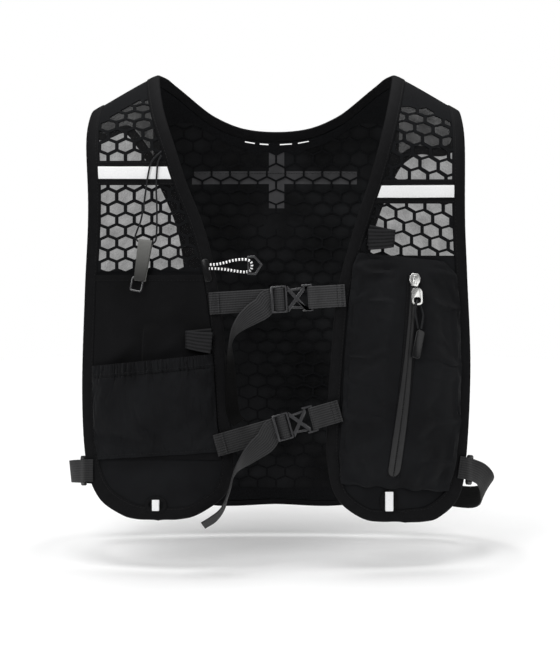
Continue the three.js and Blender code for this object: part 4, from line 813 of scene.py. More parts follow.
# Back panel: one piece of the same cloth from the shoulders to the hem, with sheer net cells let into its
# shoulders and a short row of slots under the neckline. A honeycomb lining covers its inside.
BACK = {
    "thick": 1.6, "spacing": 8, "under": 3, "net_start": -14, "net_end": -140, "net_x": 112, "net_rim": 1.5,
    "film_lift": 0.6, "film": 0.3, "film_size": 1.04,
}
LINING = {
    "pitch": 16.9, "row": 10.5, "rib": 1.7, "tilt": 0, "slip": 0, "x": 0, "run": 250, "level_x": 0, "lift": -0.8,
    "thick": 0.7, "spacing": 11, "inset": 0.5, "rim": 7, "below_neck": 9, "start": 82, "hem": -374, "side_end": -400,
}
NECK_SLOTS = [(-24, 4.5), (-11, 4), (9, 5.5), (25, 5)]  # middle and half width
SLOT = {"drop": 2.0, "height": 1.5}
TAPE_ACROSS = {"left": -77, "right": 74, "top": -84, "bottom": -96}
TAPE_DOWN = {"left": -6.5, "right": 7.5, "top": -62, "bottom": -118}


def back_outline(inset):
    shifted = {name: shift_path(path, edge_width(name, path) + inset, turn) for name, path, turn in EDGES}
    neck = shifted["neck_binding"]
    neck = neck[neck[:, 1] < 0]
    sides = [shifted[name][shifted[name][:, 1] < 0] for name in ("right_side_binding", "left_side_binding")]
    ridge_ends = [[[sides[0][0, 0], 0]], [[sides[1][0, 0], 0], [neck[0, 0], 0]]]
    outline = [neck, [[neck[-1, 0], 0]], ridge_ends[0], sides[0], sides[1][::-1], ridge_ends[1]]
    return np.vstack(outline), neck, sides


# Tapes sewn to the outside show through the cloth as a lighter cross on its inside
def lighter_cross(tree, flat, paint):
    parts = add(tree, "ShaderNodeSeparateXYZ", {0: flat})
    shown = None
    for tape in (TAPE_ACROSS, TAPE_DOWN):
        middle_x = (tape["left"] + tape["right"]) / 2
        runs = [-float(run_to(middle_x, tape[end])) for end in ("top", "bottom")]
        middles = (middle_x * MM, sum(runs) / 2 * MM)
        halves = ((tape["right"] - tape["left"]) / 2 * MM, abs(runs[0] - runs[1]) / 2 * MM)
        inside = [add(tree, "ShaderNodeMath", {0: parts.outputs[i], 1: middles[i], 2: halves[i]}, operation="COMPARE")
                  for i in (0, 1)]
        box = add(tree, "ShaderNodeMath", {0: inside[0].outputs[0], 1: inside[1].outputs[0]}, operation="MULTIPLY")
        shown = box if shown is None else add(
            tree, "ShaderNodeMath", {0: shown.outputs[0], 1: box.outputs[0]}, operation="MAXIMUM")
    cloudy = add(tree, "ShaderNodeTexNoise", {"Vector": flat, "Scale": 60.0, "Detail": 3.0})
    tone = add(tree, "ShaderNodeValToRGB", {"Fac": cloudy.outputs["Fac"]})
    tone.color_ramp.elements[0].color = linear("#353536")
    tone.color_ramp.elements[1].color = linear("#5a5a5c")
    crossed = add(tree, "ShaderNodeMix", {0: shown.outputs[0], 6: paint, 7: tone.outputs["Color"]}, data_type="RGBA")
    return crossed.outputs[2]


back_cloth = cloth_material("plain_woven_polyester_back", "#020202", "#242527", 0.0009, lighter_cross, 0.06)
dense_mesh = sheer_material("dense_polyester_mesh", 0.48, 0.68)
outline, *_ = back_outline(-BACK["under"])
_, inner_neck, (inner_right, inner_left) = back_outline(0)
slots = []
for x, half in NECK_SLOTS:
    at = np.array([x - half, x + half])
    top = np.interp(at, inner_neck[:, 0], inner_neck[:, 1]) - SLOT["drop"]
    low = top - SLOT["height"]
    slots.append(np.array([[at[0], top[0]], [at[1], top[1]], [at[1], low[1]], [at[0], low[0]]]))
windows = {}
_, _, (window_right, window_left) = back_outline(BACK["net_rim"])
for hand, edge in ((-1, window_left), (1, window_right)):
    at_shoulder = (edge[:, 1] < BACK["net_start"]) & (edge[:, 1] > BACK["net_end"])
    kept = edge[at_shoulder & (np.abs(edge[:, 0]) > BACK["net_x"])]
    inner_x = hand * BACK["net_x"]
    windows[hand] = np.vstack([kept, [[inner_x, kept[-1, 1]], [inner_x, BACK["net_start"]]]])
openings = slots + [windows[-1], windows[1]]
piece = cut_cloth("back_cloth", outline, openings, 0, BACK["thick"], back_cloth, BACK["spacing"],
                  lambda x, run: ripple(0.6, 90, 31)(x, run) * rise(-60, -140, run))
back_piece = dress(piece, "cloth", "back_panel")
for hand, side in ((-1, "left"), (1, "right")):
    middle = windows[hand].mean(0)
    patch = middle + (windows[hand] - middle) * BACK["film_size"]
    piece = cut_cloth(side + "_back_mesh", patch, [], BACK["film_lift"], BACK["film"], dense_mesh, BACK["spacing"])
    dress(piece, "net")
lining_outline, *_ = back_outline(LINING["inset"])
lining_side = {hand: edge[edge[:, 1] > LINING["side_end"]][::-1] for hand, edge in ((-1, inner_left), (1, inner_right))}
lining_zone = [
    lambda p: np.interp(p[1], lining_side[1][:, 1], lining_side[1][:, 0]) - p[0] - LINING["rim"],
    lambda p: p[0] - np.interp(p[1], lining_side[-1][:, 1], lining_side[-1][:, 0]) - LINING["rim"],
    lambda p: -p[1] + np.interp(p[0], inner_neck[:, 0], inner_neck[:, 1]) - LINING["below_neck"],
    lambda p: float(form_point(p[0], p[1])[2]) - LINING["hem"],
    lambda p: -LINING["start"] - p[1],
]
cells = honeycomb(LINING, lining_zone, 20, 9, -1)
piece = cut_cloth("back_lining", lining_outline, openings + cells, LINING["lift"], LINING["thick"], knitted_net,
                  LINING["spacing"])
dress(piece, "net")
ZIGZAG = {"points": 61, "inset": 2, "drop": 2.4, "lift": LINING["lift"] - 0.05}
x = np.linspace(TAPE_ACROSS["left"] + ZIGZAG["inset"], TAPE_ACROSS["right"] - ZIGZAG["inset"], ZIGZAG["points"])
z = TAPE_ACROSS["top"] - ZIGZAG["drop"] + 1.0 * (np.arange(ZIGZAG["points"]) % 2)
sew("back_zigzag", [cloth_point(x, -run_to(x, z), np.full(len(x), ZIGZAG["lift"]))], "tape", 2.6, 2.3)

# Back tapes: two flat lengths of the binding's woven tape, sewn to the outside of the back panel, one across
# under the neckline and one down from it. They stiffen the cloth between the shoulders.
BACK_TAPE = {"thick": 1.0, "lift": 2.1, "under": 1.3, "down_top": -96}


# Closed thin wall from an inner and an outer grid of points
def wall(name, inner, outer, material, uv, sharp=50):
    rows, columns = inner.shape[:2]
    count = rows * columns
    index = np.arange(count).reshape(rows, columns)
    quads = [(index[r, c], index[r, c + 1], index[r + 1, c + 1], index[r + 1, c])
             for r in range(rows - 1) for c in range(columns - 1)]
    rim = list(index[0]) + list(index[1:, -1]) + list(index[-1, -2::-1]) + list(index[-2:0:-1, 0])
    faces = quads + [tuple(i + count for i in reversed(quad)) for quad in quads]
    faces += [(b, a, a + count, b + count) for a, b in zip(rim, rim[1:] + rim[:1])]
    flat = uv.reshape(-1, 2)
    points = np.vstack([outer.reshape(-1, 3), inner.reshape(-1, 3)])
    return build(name, points, faces, material, np.vstack([flat, flat]), sharp)


for name, tape, top in (("back_tape_across", TAPE_ACROSS, TAPE_ACROSS["top"]),
                        ("back_tape_down", TAPE_DOWN, BACK_TAPE["down_top"])):
    z, x = np.meshgrid(np.linspace(top, tape["bottom"], 7), np.linspace(tape["left"], tape["right"], 41), indexing="ij")
    inner, outer = (cloth_point(x, -run_to(x, z), np.full(x.shape, lift))
                    for lift in (BACK_TAPE["under"], BACK_TAPE["lift"] + BACK_TAPE["thick"]))
    dress(wall(name + "_sewn", inner, outer, woven_tape, np.stack([x, z], -1)), "tape", name)

# Ribbons: a dark woven ribbon across each net, sewn along both its edges, with a strip of bright film
# pressed along its middle. The film's glass beads send light back, so it looks almost white.
reflective_film, tree = new_material("reflective_film")
flat = add(tree, "ShaderNodeUVMap", uv_map="pattern").outputs["UV"]
beads = add(tree, "ShaderNodeTexNoise", {"Vector": flat, "Scale": 700.0, "Detail": 2.0})
tone = add(tree, "ShaderNodeValToRGB", {"Fac": beads.outputs["Fac"]})
tone.color_ramp.elements[0].color = linear("#e6e7e8")
tone.color_ramp.elements[1].color = linear("#fdfdfd")
# The emission is painted light: the film glows faintly in its own colour
shader = add(tree, "ShaderNodeBsdfPrincipled", {
    "Base Color": tone.outputs["Color"], "Roughness": 0.5, "Specular IOR Level": 0.3,
    "Emission Color": tone.outputs["Color"], "Emission Strength": 0.1})
add(tree, "ShaderNodeOutputMaterial", {"Surface": shader.outputs[0]})
ribbon_seams = []
inside_lines = front_lines(0.3)
for side, net in NETS.items():
    lines = inside_lines[side]
    for name, height, low, high, material, slot in (
            ("ribbon", RIBBON["height"], 1.3, RIBBON["lift"] + RIBBON["thick"], woven_tape, "tape"),
            ("bright_strip", RIBBON["strip_height"], RIBBON["lift"] + RIBBON["thick"] - 0.1,
             RIBBON["strip_lift"] + RIBBON["strip_thick"], reflective_film, "bright")):
        z, share = np.meshgrid(np.linspace(0.5, -0.5, 9) * height + net["ribbon"], np.linspace(0, 1, 41), indexing="ij")
        x = mix(at_height(lines["side"], z), at_height(lines["front"], z), share)
        run = run_to(x, z)
        soft = 0.25 * np.sin(share * 9 + z * 0.05)
        outer = high - 0.25 * np.abs(2 * (z - net["ribbon"]) / height) ** 4 + soft
        inner = np.full(x.shape, low) + soft * 0.5
        piece = wall(f"{side}_{name}_sewn", cloth_point(x, run, inner), cloth_point(x, run, outer), material,
                     np.stack([x, z], -1))
        dress(piece, slot, f"{side}_{name}")
    for edge in (-0.43, 0.43):
        z = np.full(60, net["ribbon"] + edge * RIBBON["height"])
        x = np.linspace(float(at_height(lines["side"], z[0])), float(at_height(lines["front"], z[0])), 60)
        ribbon_seams.append(cloth_point(x, run_to(x, z), np.full(60, RIBBON["lift"] + RIBBON["thick"] + 0.05)))
sew("ribbon_stitches", ribbon_seams, "tape", 2.6, 1.9)

# Upper pocket: a flat cloth pocket over the left front. Its top edge is hemmed, and a short upright
# pleat stands above the lower pocket.
UPPER_POCKET = {
    "top": -180, "bottom": -346, "thick": 1.2, "lift": 1.75, "swell": 3.5, "swell_to": -228, "pleat_x": -118,
    "pleat": 3.4,
    "pleat_left": 1.6, "pleat_right": 12, "rows": 110, "columns": 130, "fold": 2.0,
}


def pocket_grid(tops, bottoms, rows, columns):
    down, across = np.meshgrid(np.linspace(0, 1, rows), np.linspace(0, 1, columns), indexing="ij")
    z = mix(mix(tops[0], tops[1], across), mix(bottoms[0], bottoms[1], across), down)
    lines = inside_lines["left"]
    x = mix(at_height(lines["side"], z), at_height(lines["front"], z), across)
    return down, across, x, z


# A soft fold: a ridge along a line from one flat point to another, fading at its ends
def fold(x, z, start, end, width):
    start, end = np.array(start, float), np.array(end, float)
    along = (end - start) / np.linalg.norm(end - start)
    run = (x - start[0]) * along[0] + (z - start[1]) * along[1]
    off = -(x - start[0]) * along[1] + (z - start[1]) * along[0]
    share = np.clip(run / np.linalg.norm(end - start), 0, 1)
    return np.exp(-(off / width) ** 2) * np.sin(np.pi * share)


down, across, x, z = pocket_grid(
    (UPPER_POCKET["top"],) * 2, (UPPER_POCKET["bottom"],) * 2, UPPER_POCKET["rows"], UPPER_POCKET["columns"])
swell = np.sin(np.pi * across) * rise(UPPER_POCKET["swell_to"], UPPER_POCKET["top"], z)
lift = UPPER_POCKET["lift"] + UPPER_POCKET["swell"] * swell
off = x - (UPPER_POCKET["pleat_x"] + 0.0016 * (z + 258) ** 2)
upright = np.exp(-(off / np.where(off < 0, UPPER_POCKET["pleat_left"], UPPER_POCKET["pleat_right"])) ** 2)
lift = lift + UPPER_POCKET["pleat"] * upright * rise(-222, -232, z) * rise(-275, -258, z)
edge = np.sin(np.pi * across) ** 0.5
for start, end, width, height in (
        ((-158, -196), (-122, -236), 6, 1.0), ((-122, -236), (-160, -268), 6, 0.9),
        ((-112, -228), (-78, -204), 7, 0.8), ((-110, -256), (-70, -226), 6, 0.7),
        ((-150, -215), (-135, -262), 5, 0.6), ((-95, -190), (-88, -240), 6, 0.5)):
    lift = lift + UPPER_POCKET["fold"] * height * fold(x, z, start, end, width) * edge
hem = 0.5 * rise(-186, -184, z)
run = run_to(x, z)
# The pocket's cloth is the woven polyester with darker colours: painted shade, where the pocket leans out of the light
piece = wall("upper_pocket_cloth", cloth_point(x, run, lift), cloth_point(x, run, lift + UPPER_POCKET["thick"] + hem),
             cloth_material("plain_woven_polyester_pocket_shaded", "#080809", "#131315", 0.0009), np.stack([x, -run], -1))
dress(piece, "cloth", "upper_pocket")
width, tall = line_length(cloth_point(x[0], run[0], lift[0])), (UPPER_POCKET["top"] - UPPER_POCKET["bottom"]) * MM
pocket_seams = [cloth_point(x[3], run[3], lift[3] + UPPER_POCKET["thick"] + 0.55)]

# Lower pocket: a second cloth pocket over the first, sewn at its sides and bottom. Elastic in its top
# hem gathers the cloth into a row of small puckers.
LOWER_POCKET = {
    "tops": (-262, -251), "bottoms": (-346, -339), "thick": 1.2, "lift": 3.475, "swell": 11, "band": 0.135, "rows": 60,
    "columns": 260,
}


# Cloth under a light push from inside, held at its rim: the settled grid replaces the drawn one
def puffed(name, points, pressure, slack, most, frames=18):
    rows, columns = points.shape[:2]
    index = np.arange(rows * columns).reshape(rows, columns)
    faces = [(index[r, c], index[r + 1, c], index[r + 1, c + 1], index[r, c + 1])
             for r in range(rows - 1) for c in range(columns - 1)]
    mesh = bpy.data.meshes.new(name)
    mesh.from_pydata((points.reshape(-1, 3) * MM).tolist(), [], [tuple(int(i) for i in f) for f in faces])
    made = bpy.data.objects.new(name, mesh)
    scene.collection.objects.link(made)
    held = made.vertex_groups.new(name="held")
    rim = set(index[0]) | set(index[-1]) | set(index[:, 0]) | set(index[:, -1])
    held.add([int(i) for i in rim], 1.0, "REPLACE")
    modifier = made.modifiers.new("cloth", "CLOTH")
    settings = modifier.settings
    settings.vertex_group_mass = "held"
    settings.quality = 6
    settings.mass = 0.12
    settings.tension_stiffness = settings.compression_stiffness = 18
    settings.shear_stiffness = 6
    settings.bending_stiffness = 0.3
    settings.air_damping = 6
    settings.use_pressure = True
    settings.uniform_pressure_force = pressure
    settings.shrink_min = -slack
    settings.effector_weights.gravity = 0
    modifier.collision_settings.use_collision = False
    modifier.point_cache.frame_start, modifier.point_cache.frame_end = 1, frames
    for number in range(1, frames + 1):
        scene.frame_set(number)
    settled = made.evaluated_get(bpy.context.evaluated_depsgraph_get()).to_mesh()
    found = np.zeros(len(settled.vertices) * 3)
    settled.vertices.foreach_get("co", found)
    scene.frame_set(1)
    bpy.data.objects.remove(made)
    moved = found.reshape(rows, columns, 3) / MM - points
    reach = np.linalg.norm(moved, axis=-1, keepdims=True)
    return points + moved * np.minimum(1, most / np.maximum(reach, 1e-6))


# Inner and outer grids at half a thickness each side of a grid of points
def thickened(points, thick):
    out = unit(np.cross(np.gradient(points, axis=0), np.gradient(points, axis=1)))
    return points - out * thick / 2, points + out * thick / 2


down, across, x, z = pocket_grid(
    LOWER_POCKET["tops"], LOWER_POCKET["bottoms"], LOWER_POCKET["rows"], LOWER_POCKET["columns"])
round_across = np.maximum(np.sin(np.pi * across), 0)
lift = LOWER_POCKET["lift"] + LOWER_POCKET["swell"] * round_across ** 0.7 * (1 - down ** 2)
lift = lift + 1.1 * np.cos(14 * np.pi * across) * round_across ** 0.5 * (1 - rise(0, 0.34, down))
draw = np.random.default_rng(5)
for count, height, reach in ((13, 0.5, 0.45), (23, 0.55, 0.34), (33, 0.7, 0.26), (41, 0.45, 0.2)):
    phase = draw.uniform(0, 2 * np.pi)
    drift = 0.012 * np.sin(across * 2 * np.pi * 3 + phase)
    pucker = np.cos(2 * np.pi * count * (across + drift) + phase) * round_across ** 0.4
    lift = lift + height * pucker * (1 - rise(0.1, reach, down))
lift = lift - 0.7 * np.exp(-((down - LOWER_POCKET["band"]) / 0.012) ** 2)
for start, end, width, height in (
        ((-150, -275), (-146, -336), 5, 2.0), ((-136, -275), (-133, -325), 4, -1.6),
        ((-121, -272), (-118, -330), 4, 1.8), ((-106, -272), (-104, -318), 4, -1.5),
        ((-90, -268), (-93, -320), 5, 1.6), ((-74, -266), (-72, -314), 4, -1.4),
        ((-162, -330), (-110, -340), 7, 1.4), ((-100, -336), (-60, -326), 6, -1.4),
        ((-62, -270), (-64, -320), 4, 1.4)):
    lift = lift + height * fold(x, z, start, end, width)
run = run_to(x, z)
middle = puffed("lower_pocket_rest", cloth_point(x, run, lift + LOWER_POCKET["thick"] / 2), 2.0, 0.02, 2.0)
piece = wall("lower_pocket_cloth", *thickened(middle, LOWER_POCKET["thick"]), woven_cloth, np.stack([x, -run], -1))
dress(piece, "cloth", "lower_pocket")
width, tall = line_length(middle[8]), line_length(middle[:, LOWER_POCKET["columns"] // 2])
row = int(LOWER_POCKET["band"] * (LOWER_POCKET["rows"] - 1))
sewn_face = thickened(middle, LOWER_POCKET["thick"] + 0.3)[1]
pocket_seams += [sewn_face[i] for i in (row - 1, row + 1, LOWER_POCKET["rows"] - 3)]
sew("pocket_stitches", pocket_seams, "cloth", 2.8, 2.0)

# Padded pocket: the right front's deep pocket of lightly padded cloth, sewn on all round, gathered at
# the bottom and closed by an upright zip. Near the zip, its tape holds the cloth almost still.
ZIP = {"top": -180, "bottom": -361, "top_x": 124, "bottom_x": 105.5, "bow": 2.5, "lip": 3.6, "rows": 90}


# Middle of the zip at a share of its length
def zip_middle_x(share):
    return mix(ZIP["top_x"], ZIP["bottom_x"], share) + ZIP["bow"] * np.sin(np.pi * share)


down, across = np.meshgrid(np.linspace(0, 1, 110), np.linspace(0, 1, 70), indexing="ij")
middle = zip_pocket_point(down, across, -ZIP_POCKET["thick"] / 2)
flat_x, flat_run, _ = zip_pocket_at(down, across)
settled = puffed("zip_pocket_rest", middle, 2.5, 0.03, 3.0)
zip_share = np.clip((ZIP["top"] - middle[..., 2]) / (ZIP["top"] - ZIP["bottom"]), 0, 1)
free = rise(6, 24, np.abs(middle[..., 0] - zip_middle_x(zip_share)))[..., None]
middle = middle + (settled - middle) * (0.15 + 0.85 * free)
round_across = np.sin(np.pi * across)
lobes = 2.4 * np.sin(across * 2 * np.pi * 5 + 0.7) * np.exp(-((down - 0.955) / 0.04) ** 2) * round_across ** 0.5
scallops = (1 + np.sin(across * 2 * np.pi * 4.5 + 1.1)) / 2
middle[..., 2] -= 2.2 * scallops * rise(0.93, 1, down) * round_across ** 0.4
creases = sum(height * fold(middle[..., 0], middle[..., 2], start, end, width) for start, end, width, height in (
    ((70, -318), (94, -366), 5, 2.8), ((63, -300), (72, -366), 4, 2.4), ((78, -342), (82, -372), 4, -2.0),
    ((150, -330), (138, -374), 5, 2.6), ((160, -312), (156, -370), 4, 2.0), ((128, -352), (124, -374), 4, 1.6),
    ((72, -168), (96, -206), 6, 1.8), ((152, -172), (134, -206), 6, 1.8), ((68, -230), (82, -290), 6, 1.2),
    ((161, -230), (152, -300), 6, 1.4), ((90, -214), (100, -262), 7, 0.9), ((140, -232), (146, -290), 7, 0.9)))
middle = middle + cloth_out(flat_x, flat_run) * ((lobes + creases) * (0.2 + 0.8 * free[..., 0]))[..., None]
piece = wall("zip_pocket_cloth", *thickened(middle, ZIP_POCKET["thick"]), woven_cloth,
             np.stack([flat_x, -flat_run], -1))
dress(piece, "cloth", "zip_pocket")

# Zip: a coil zip under two coated lips, on a woven tape that is sewn into the padded pocket. A cast slider
# runs on the coil, and its pull carries the cord and the moulded grip.
ZIP_TAPE = [  # across from the middle, and lift
    (-6, 0.6), (-5.7, 1.2), (-4, 1.7), (-2, 1.8), (0, 1.2), (2, 1.8), (4, 1.7), (5.7, 1.2), (6, 0.6),
]
ZIP_LIP = [(0.35, 2.2), (0.8, 2.5), (2.0, 2.5), (3.2, 2.3), (ZIP["lip"], 1.9)]
share = np.linspace(0, 1, ZIP["rows"])
zip_z = mix(ZIP["top"], ZIP["bottom"], share)
zip_x = zip_middle_x(share)
lip_spread = mix(0.72, 1.5, rise(0.1, 0.9, share)) * mix(0.4, 1.0, np.sqrt(np.clip((1 - share) / 0.03, 0, 1)))


# Strip along the zip from its section, over the pocket's cloth
def zip_strip(name, section, low, material, spread=1.0):
    offsets, heights = np.array(section).T
    x = zip_x[:, None] + offsets[None, :] * np.broadcast_to(spread, zip_x.shape)[:, None]
    z = np.repeat(zip_z[:, None], len(offsets), 1)
    inner = on_zip_pocket(x, z, np.full(x.shape, low))
    outer = on_zip_pocket(x, z, np.broadcast_to(heights, x.shape))
    return wall(name, inner, outer, material, np.stack([np.broadcast_to(offsets, x.shape), z], -1), 35)


# Coated zip lips: a smooth grey rubber-like film on the tape
coated_lip, tree = new_material("coated_zip_lip")
flat = add(tree, "ShaderNodeUVMap", uv_map="pattern").outputs["UV"]
haze = add(tree, "ShaderNodeTexNoise", {"Vector": flat, "Scale": 240.0, "Detail": 4.0, "Roughness": 0.7})
tone = add(tree, "ShaderNodeValToRGB", {"Fac": haze.outputs["Fac"]})
tone.color_ramp.elements[0].color = linear("#161617")
tone.color_ramp.elements[1].color = linear("#2a2a2b")
shader = add(tree, "ShaderNodeBsdfPrincipled", {
    "Base Color": tone.outputs["Color"], "Roughness": 0.5, "Specular IOR Level": 0.35})
add(tree, "ShaderNodeOutputMaterial", {"Surface": shader.outputs[0]})
dress(zip_strip("zip_tape_woven", ZIP_TAPE, -0.6, woven_tape), "tape", "zip_tape")
for side, hand in (("left", -1), ("right", 1)):
    section = sorted((hand * across, lift) for across, lift in ZIP_LIP)
    dress(zip_strip(f"zip_lip_{side}", section, 1.0, coated_lip, lip_spread), "tape")
zip_middle = on_zip_pocket(zip_x, zip_z, np.full(len(zip_x), 2.1))
sew("zip_teeth", [zip_middle[4:]], "tape", 1.6, 1.1, 0.9, coated_lip)
zip_seams = [on_zip_pocket(zip_x + u, zip_z, np.full(len(zip_x), 1.75)) for u in (-4.8, 4.8)]
sew("zip_stitches", zip_seams, "tape", 2.8, 2.0)


# Copy of a CAD piece with its flat facets joined and its edges rounded
def softened(node, width, material, slot, segments=2):
    source = bpy.data.objects[node]
    shell = bmesh.new()
    shell.from_mesh(source.data)
    shell.transform(source.matrix_world)
    bmesh.ops.remove_doubles(shell, verts=shell.verts, dist=2e-6)
    bmesh.ops.dissolve_limit(shell, angle_limit=math.radians(2), verts=shell.verts, edges=shell.edges)
    sharp = [e for e in shell.edges if len(e.link_faces) == 2 and e.calc_face_angle(0) > math.radians(28)]
    bmesh.ops.bevel(shell, geom=sharp, offset=width * MM, segments=segments, profile=0.5, affect="EDGES",
                    clamp_overlap=True)
    bmesh.ops.recalc_face_normals(shell, faces=shell.faces)
    mesh = bpy.data.meshes.new(node + "_made")
    shell.to_mesh(mesh)
    shell.free()
    mesh.shade_smooth()
    mesh.set_sharp_from_angle(angle=math.radians(40))
    mesh.materials.append(material)
    made = bpy.data.objects.new(node + "_made", mesh)
    scene.collection.objects.link(made)
    return dress(made, slot, node)


# Cast zinc with a bright plating, a little scuffed
plated_zinc, tree = new_material("plated_zinc")
place = add(tree, "ShaderNodeTexCoord").outputs["Object"]
scuff = add(tree, "ShaderNodeTexNoise", {"Vector": place, "Scale": 700.0, "Detail": 4.0})
rough = add(tree, "ShaderNodeMapRange", {"Value": scuff.outputs["Fac"], 3: 0.18, 4: 0.36})
tone = add(tree, "ShaderNodeValToRGB", {"Fac": scuff.outputs["Fac"]})
tone.color_ramp.elements[0].color = linear("#c9c9c6")
tone.color_ramp.elements[1].color = linear("#ededeb")
shader = add(tree, "ShaderNodeBsdfPrincipled", {
    "Base Color": tone.outputs["Color"], "Metallic": 1.0, "Roughness": rough.outputs[0]})
add(tree, "ShaderNodeOutputMaterial", {"Surface": shader.outputs[0]})


# Moulded acetal or soft PVC: near black with a satin face and a fine moulded grain
def plastic_material(name, dark, light, gloss, rough=0.3):
    made, tree = new_material(name)
    place = add(tree, "ShaderNodeTexCoord").outputs["Object"]
    grain = add(tree, "ShaderNodeTexNoise", {"Vector": place, "Scale": 1500.0, "Detail": 3.0})
    tone = add(tree, "ShaderNodeValToRGB", {"Fac": grain.outputs["Fac"]})
    tone.color_ramp.elements[0].color = linear(dark)
    tone.color_ramp.elements[1].color = linear(light)
    bump = add(tree, "ShaderNodeBump", {"Height": grain.outputs["Fac"], "Distance": 0.00004, "Strength": 0.4})
    shader = add(tree, "ShaderNodeBsdfPrincipled", {
        "Base Color": tone.outputs["Color"], "Normal": bump.outputs[0], "Roughness": rough,
        "Specular IOR Level": gloss})
    add(tree, "ShaderNodeOutputMaterial", {"Surface": shader.outputs[0]})
    return made


moulded_plastic = plastic_material("moulded_acetal", "#262628", "#3c3c3e", 0.8, 0.22)
# The side sliders' acetal: matt, with darker colours that are painted shade
shaded_plastic = plastic_material("matt_shaded_acetal", "#09090a", "#141415", 0.3, 0.45)
moulded_grip = plastic_material("moulded_soft_pvc", "#08080a", "#141415", 0.35, 0.25)
softened("zip_slider", 0.5, plated_zinc, "metal", 3)
softened("zip_pull", 0.4, plated_zinc, "metal", 3)
zip_grip = softened("zip_grip", 0.8, moulded_grip, "plastic", 3)

# Elastic loops: short lengths of flat ribbed elastic, folded once, with both ends sewn in under the front
# bindings. They keep a tube or a cable against the fronts.
LOOP = {"width": 19, "narrow": 0.84, "thick": 1.1, "rise": 4, "base": 0.9}
LOOP_STATIONS = [  # reach, share of the rise, and drop
    (0, 0, -0.8), (13.8, 0, -0.2), (21.5, 0.05, 0), (22.8, 0.25, 0), (23.3, 0.5, 0), (22.8, 0.75, 0), (21.5, 0.95, 0),
    (13.8, 1, 1.4), (0, 0.8, 3),
]


# Place on the front's cloth: origin, and axes across, inwards and up the cloth, then turned and leaned
def seat(x, z, lift, turn=0.0, lean=0.0):
    run = float(run_to(x, z))
    inwards = -cloth_out(x, run)
    up = unit(form_point(x, run - 0.4) - form_point(x, run + 0.4))
    axes = np.stack([np.cross(inwards, up), inwards, up], 1)
    about_y = np.array([[math.cos(turn), 0, math.sin(turn)], [0, 1, 0], [-math.sin(turn), 0, math.cos(turn)]])
    about_x = np.array([[1, 0, 0], [0, math.cos(lean), -math.sin(lean)], [0, math.sin(lean), math.cos(lean)]])
    return cloth_point(x, run, lift), axes @ about_y @ about_x


# Flat strap along a line, with soft edges: across gives the direction of its width at each station
def band(name, line, across, width, thick, material, step=1.0):
    widths = np.broadcast_to(np.asarray(width, float), len(line))[:, None]
    stations = smooth_line(np.hstack([line, across, widths]), step)
    line, across, widths = stations[:, :3], stations[:, 3:6], stations[:, 6]
    along = unit(np.gradient(line, axis=0))
    across = unit(across - along * np.sum(along * across, -1, keepdims=True))
    out = np.cross(along, across)
    a, b = float(np.mean(widths)) / 2, thick / 2
    under = [(-a, -0.45 * b), (-a + 0.3 * b, -0.85 * b), (-a + 1.2 * b, -b), (-a / 2, -b), (0, -b), (a / 2, -b),
             (a - 1.2 * b, -b), (a - 0.3 * b, -0.85 * b), (a, -0.45 * b)]
    section = np.array(under + [(-x, -y) for x, y in under])
    wide = across * (widths / (2 * a))[:, None]
    points = line[:, None] + sum(section[None, :, i, None] * v[:, None] for i, v in enumerate((wide, out)))
    length = lengths_along(line)
    uv = np.stack(np.broadcast_arrays(section[None, :, 0], length[:, None]), -1).reshape(-1, 2)
    made = build(name, points.reshape(-1, 3), ring_faces(len(line), len(section)), material, uv, 60)
    return made, line, across, out


# Webbing and elastic: ribs along the length and a finer weave across them
def webbing_material(name, dark, light, rib, weave, gloss=0.2, fade=None):
    made, tree = new_material(name)
    flat = add(tree, "ShaderNodeUVMap", uv_map="pattern").outputs["UV"]
    ribs, picks = (add(tree, "ShaderNodeTexWave", {
        "Vector": flat, "Scale": math.pi / 10 / size, "Distortion": wobble}, bands_direction=way)
        for size, wobble, way in ((rib, 0.15, "X"), (weave, 0.4, "Y")))
    lint = add(tree, "ShaderNodeTexNoise", {"Vector": flat, "Scale": 180.0, "Detail": 4.0, "Roughness": 0.65})
    both = add(tree, "ShaderNodeMix", {0: 0.3, 2: ribs.outputs["Fac"], 3: picks.outputs["Fac"]}, data_type="FLOAT")
    worn = add(tree, "ShaderNodeMix", {0: 0.3, 2: both.outputs[0], 3: lint.outputs["Fac"]}, data_type="FLOAT")
    ramp = add(tree, "ShaderNodeValToRGB", {"Fac": worn.outputs[0]})
    ramp.color_ramp.elements[0].color = linear(dark)
    ramp.color_ramp.elements[0].position = 0.15
    ramp.color_ramp.elements[1].color = linear(light)
    ramp.color_ramp.elements[1].position = 0.75
    paint = ramp.outputs["Color"]
    # A fade paints light and shade along the length: full colour up to its first length, darkened to its factor past
    # its second
    if fade:
        along = add(tree, "ShaderNodeSeparateXYZ", {0: flat})
        share = add(tree, "ShaderNodeMapRange", {"Value": along.outputs[1], 1: fade[0], 2: fade[1], 3: 1.0, 4: fade[2]})
        shaded = add(tree, "ShaderNodeMix", {0: 1.0, 6: paint, 7: share.outputs[0]}, data_type="RGBA",
                     blend_type="MULTIPLY")
        paint = shaded.outputs[2]
    bump = add(tree, "ShaderNodeBump", {"Height": both.outputs[0], "Distance": 0.00025, "Strength": 0.6})
    shader = add(tree, "ShaderNodeBsdfPrincipled", {
        "Base Color": paint, "Normal": bump.outputs[0], "Roughness": 0.66, "Specular IOR Level": gloss})
    add(tree, "ShaderNodeOutputMaterial", {"Surface": shader.outputs[0]})
    return made


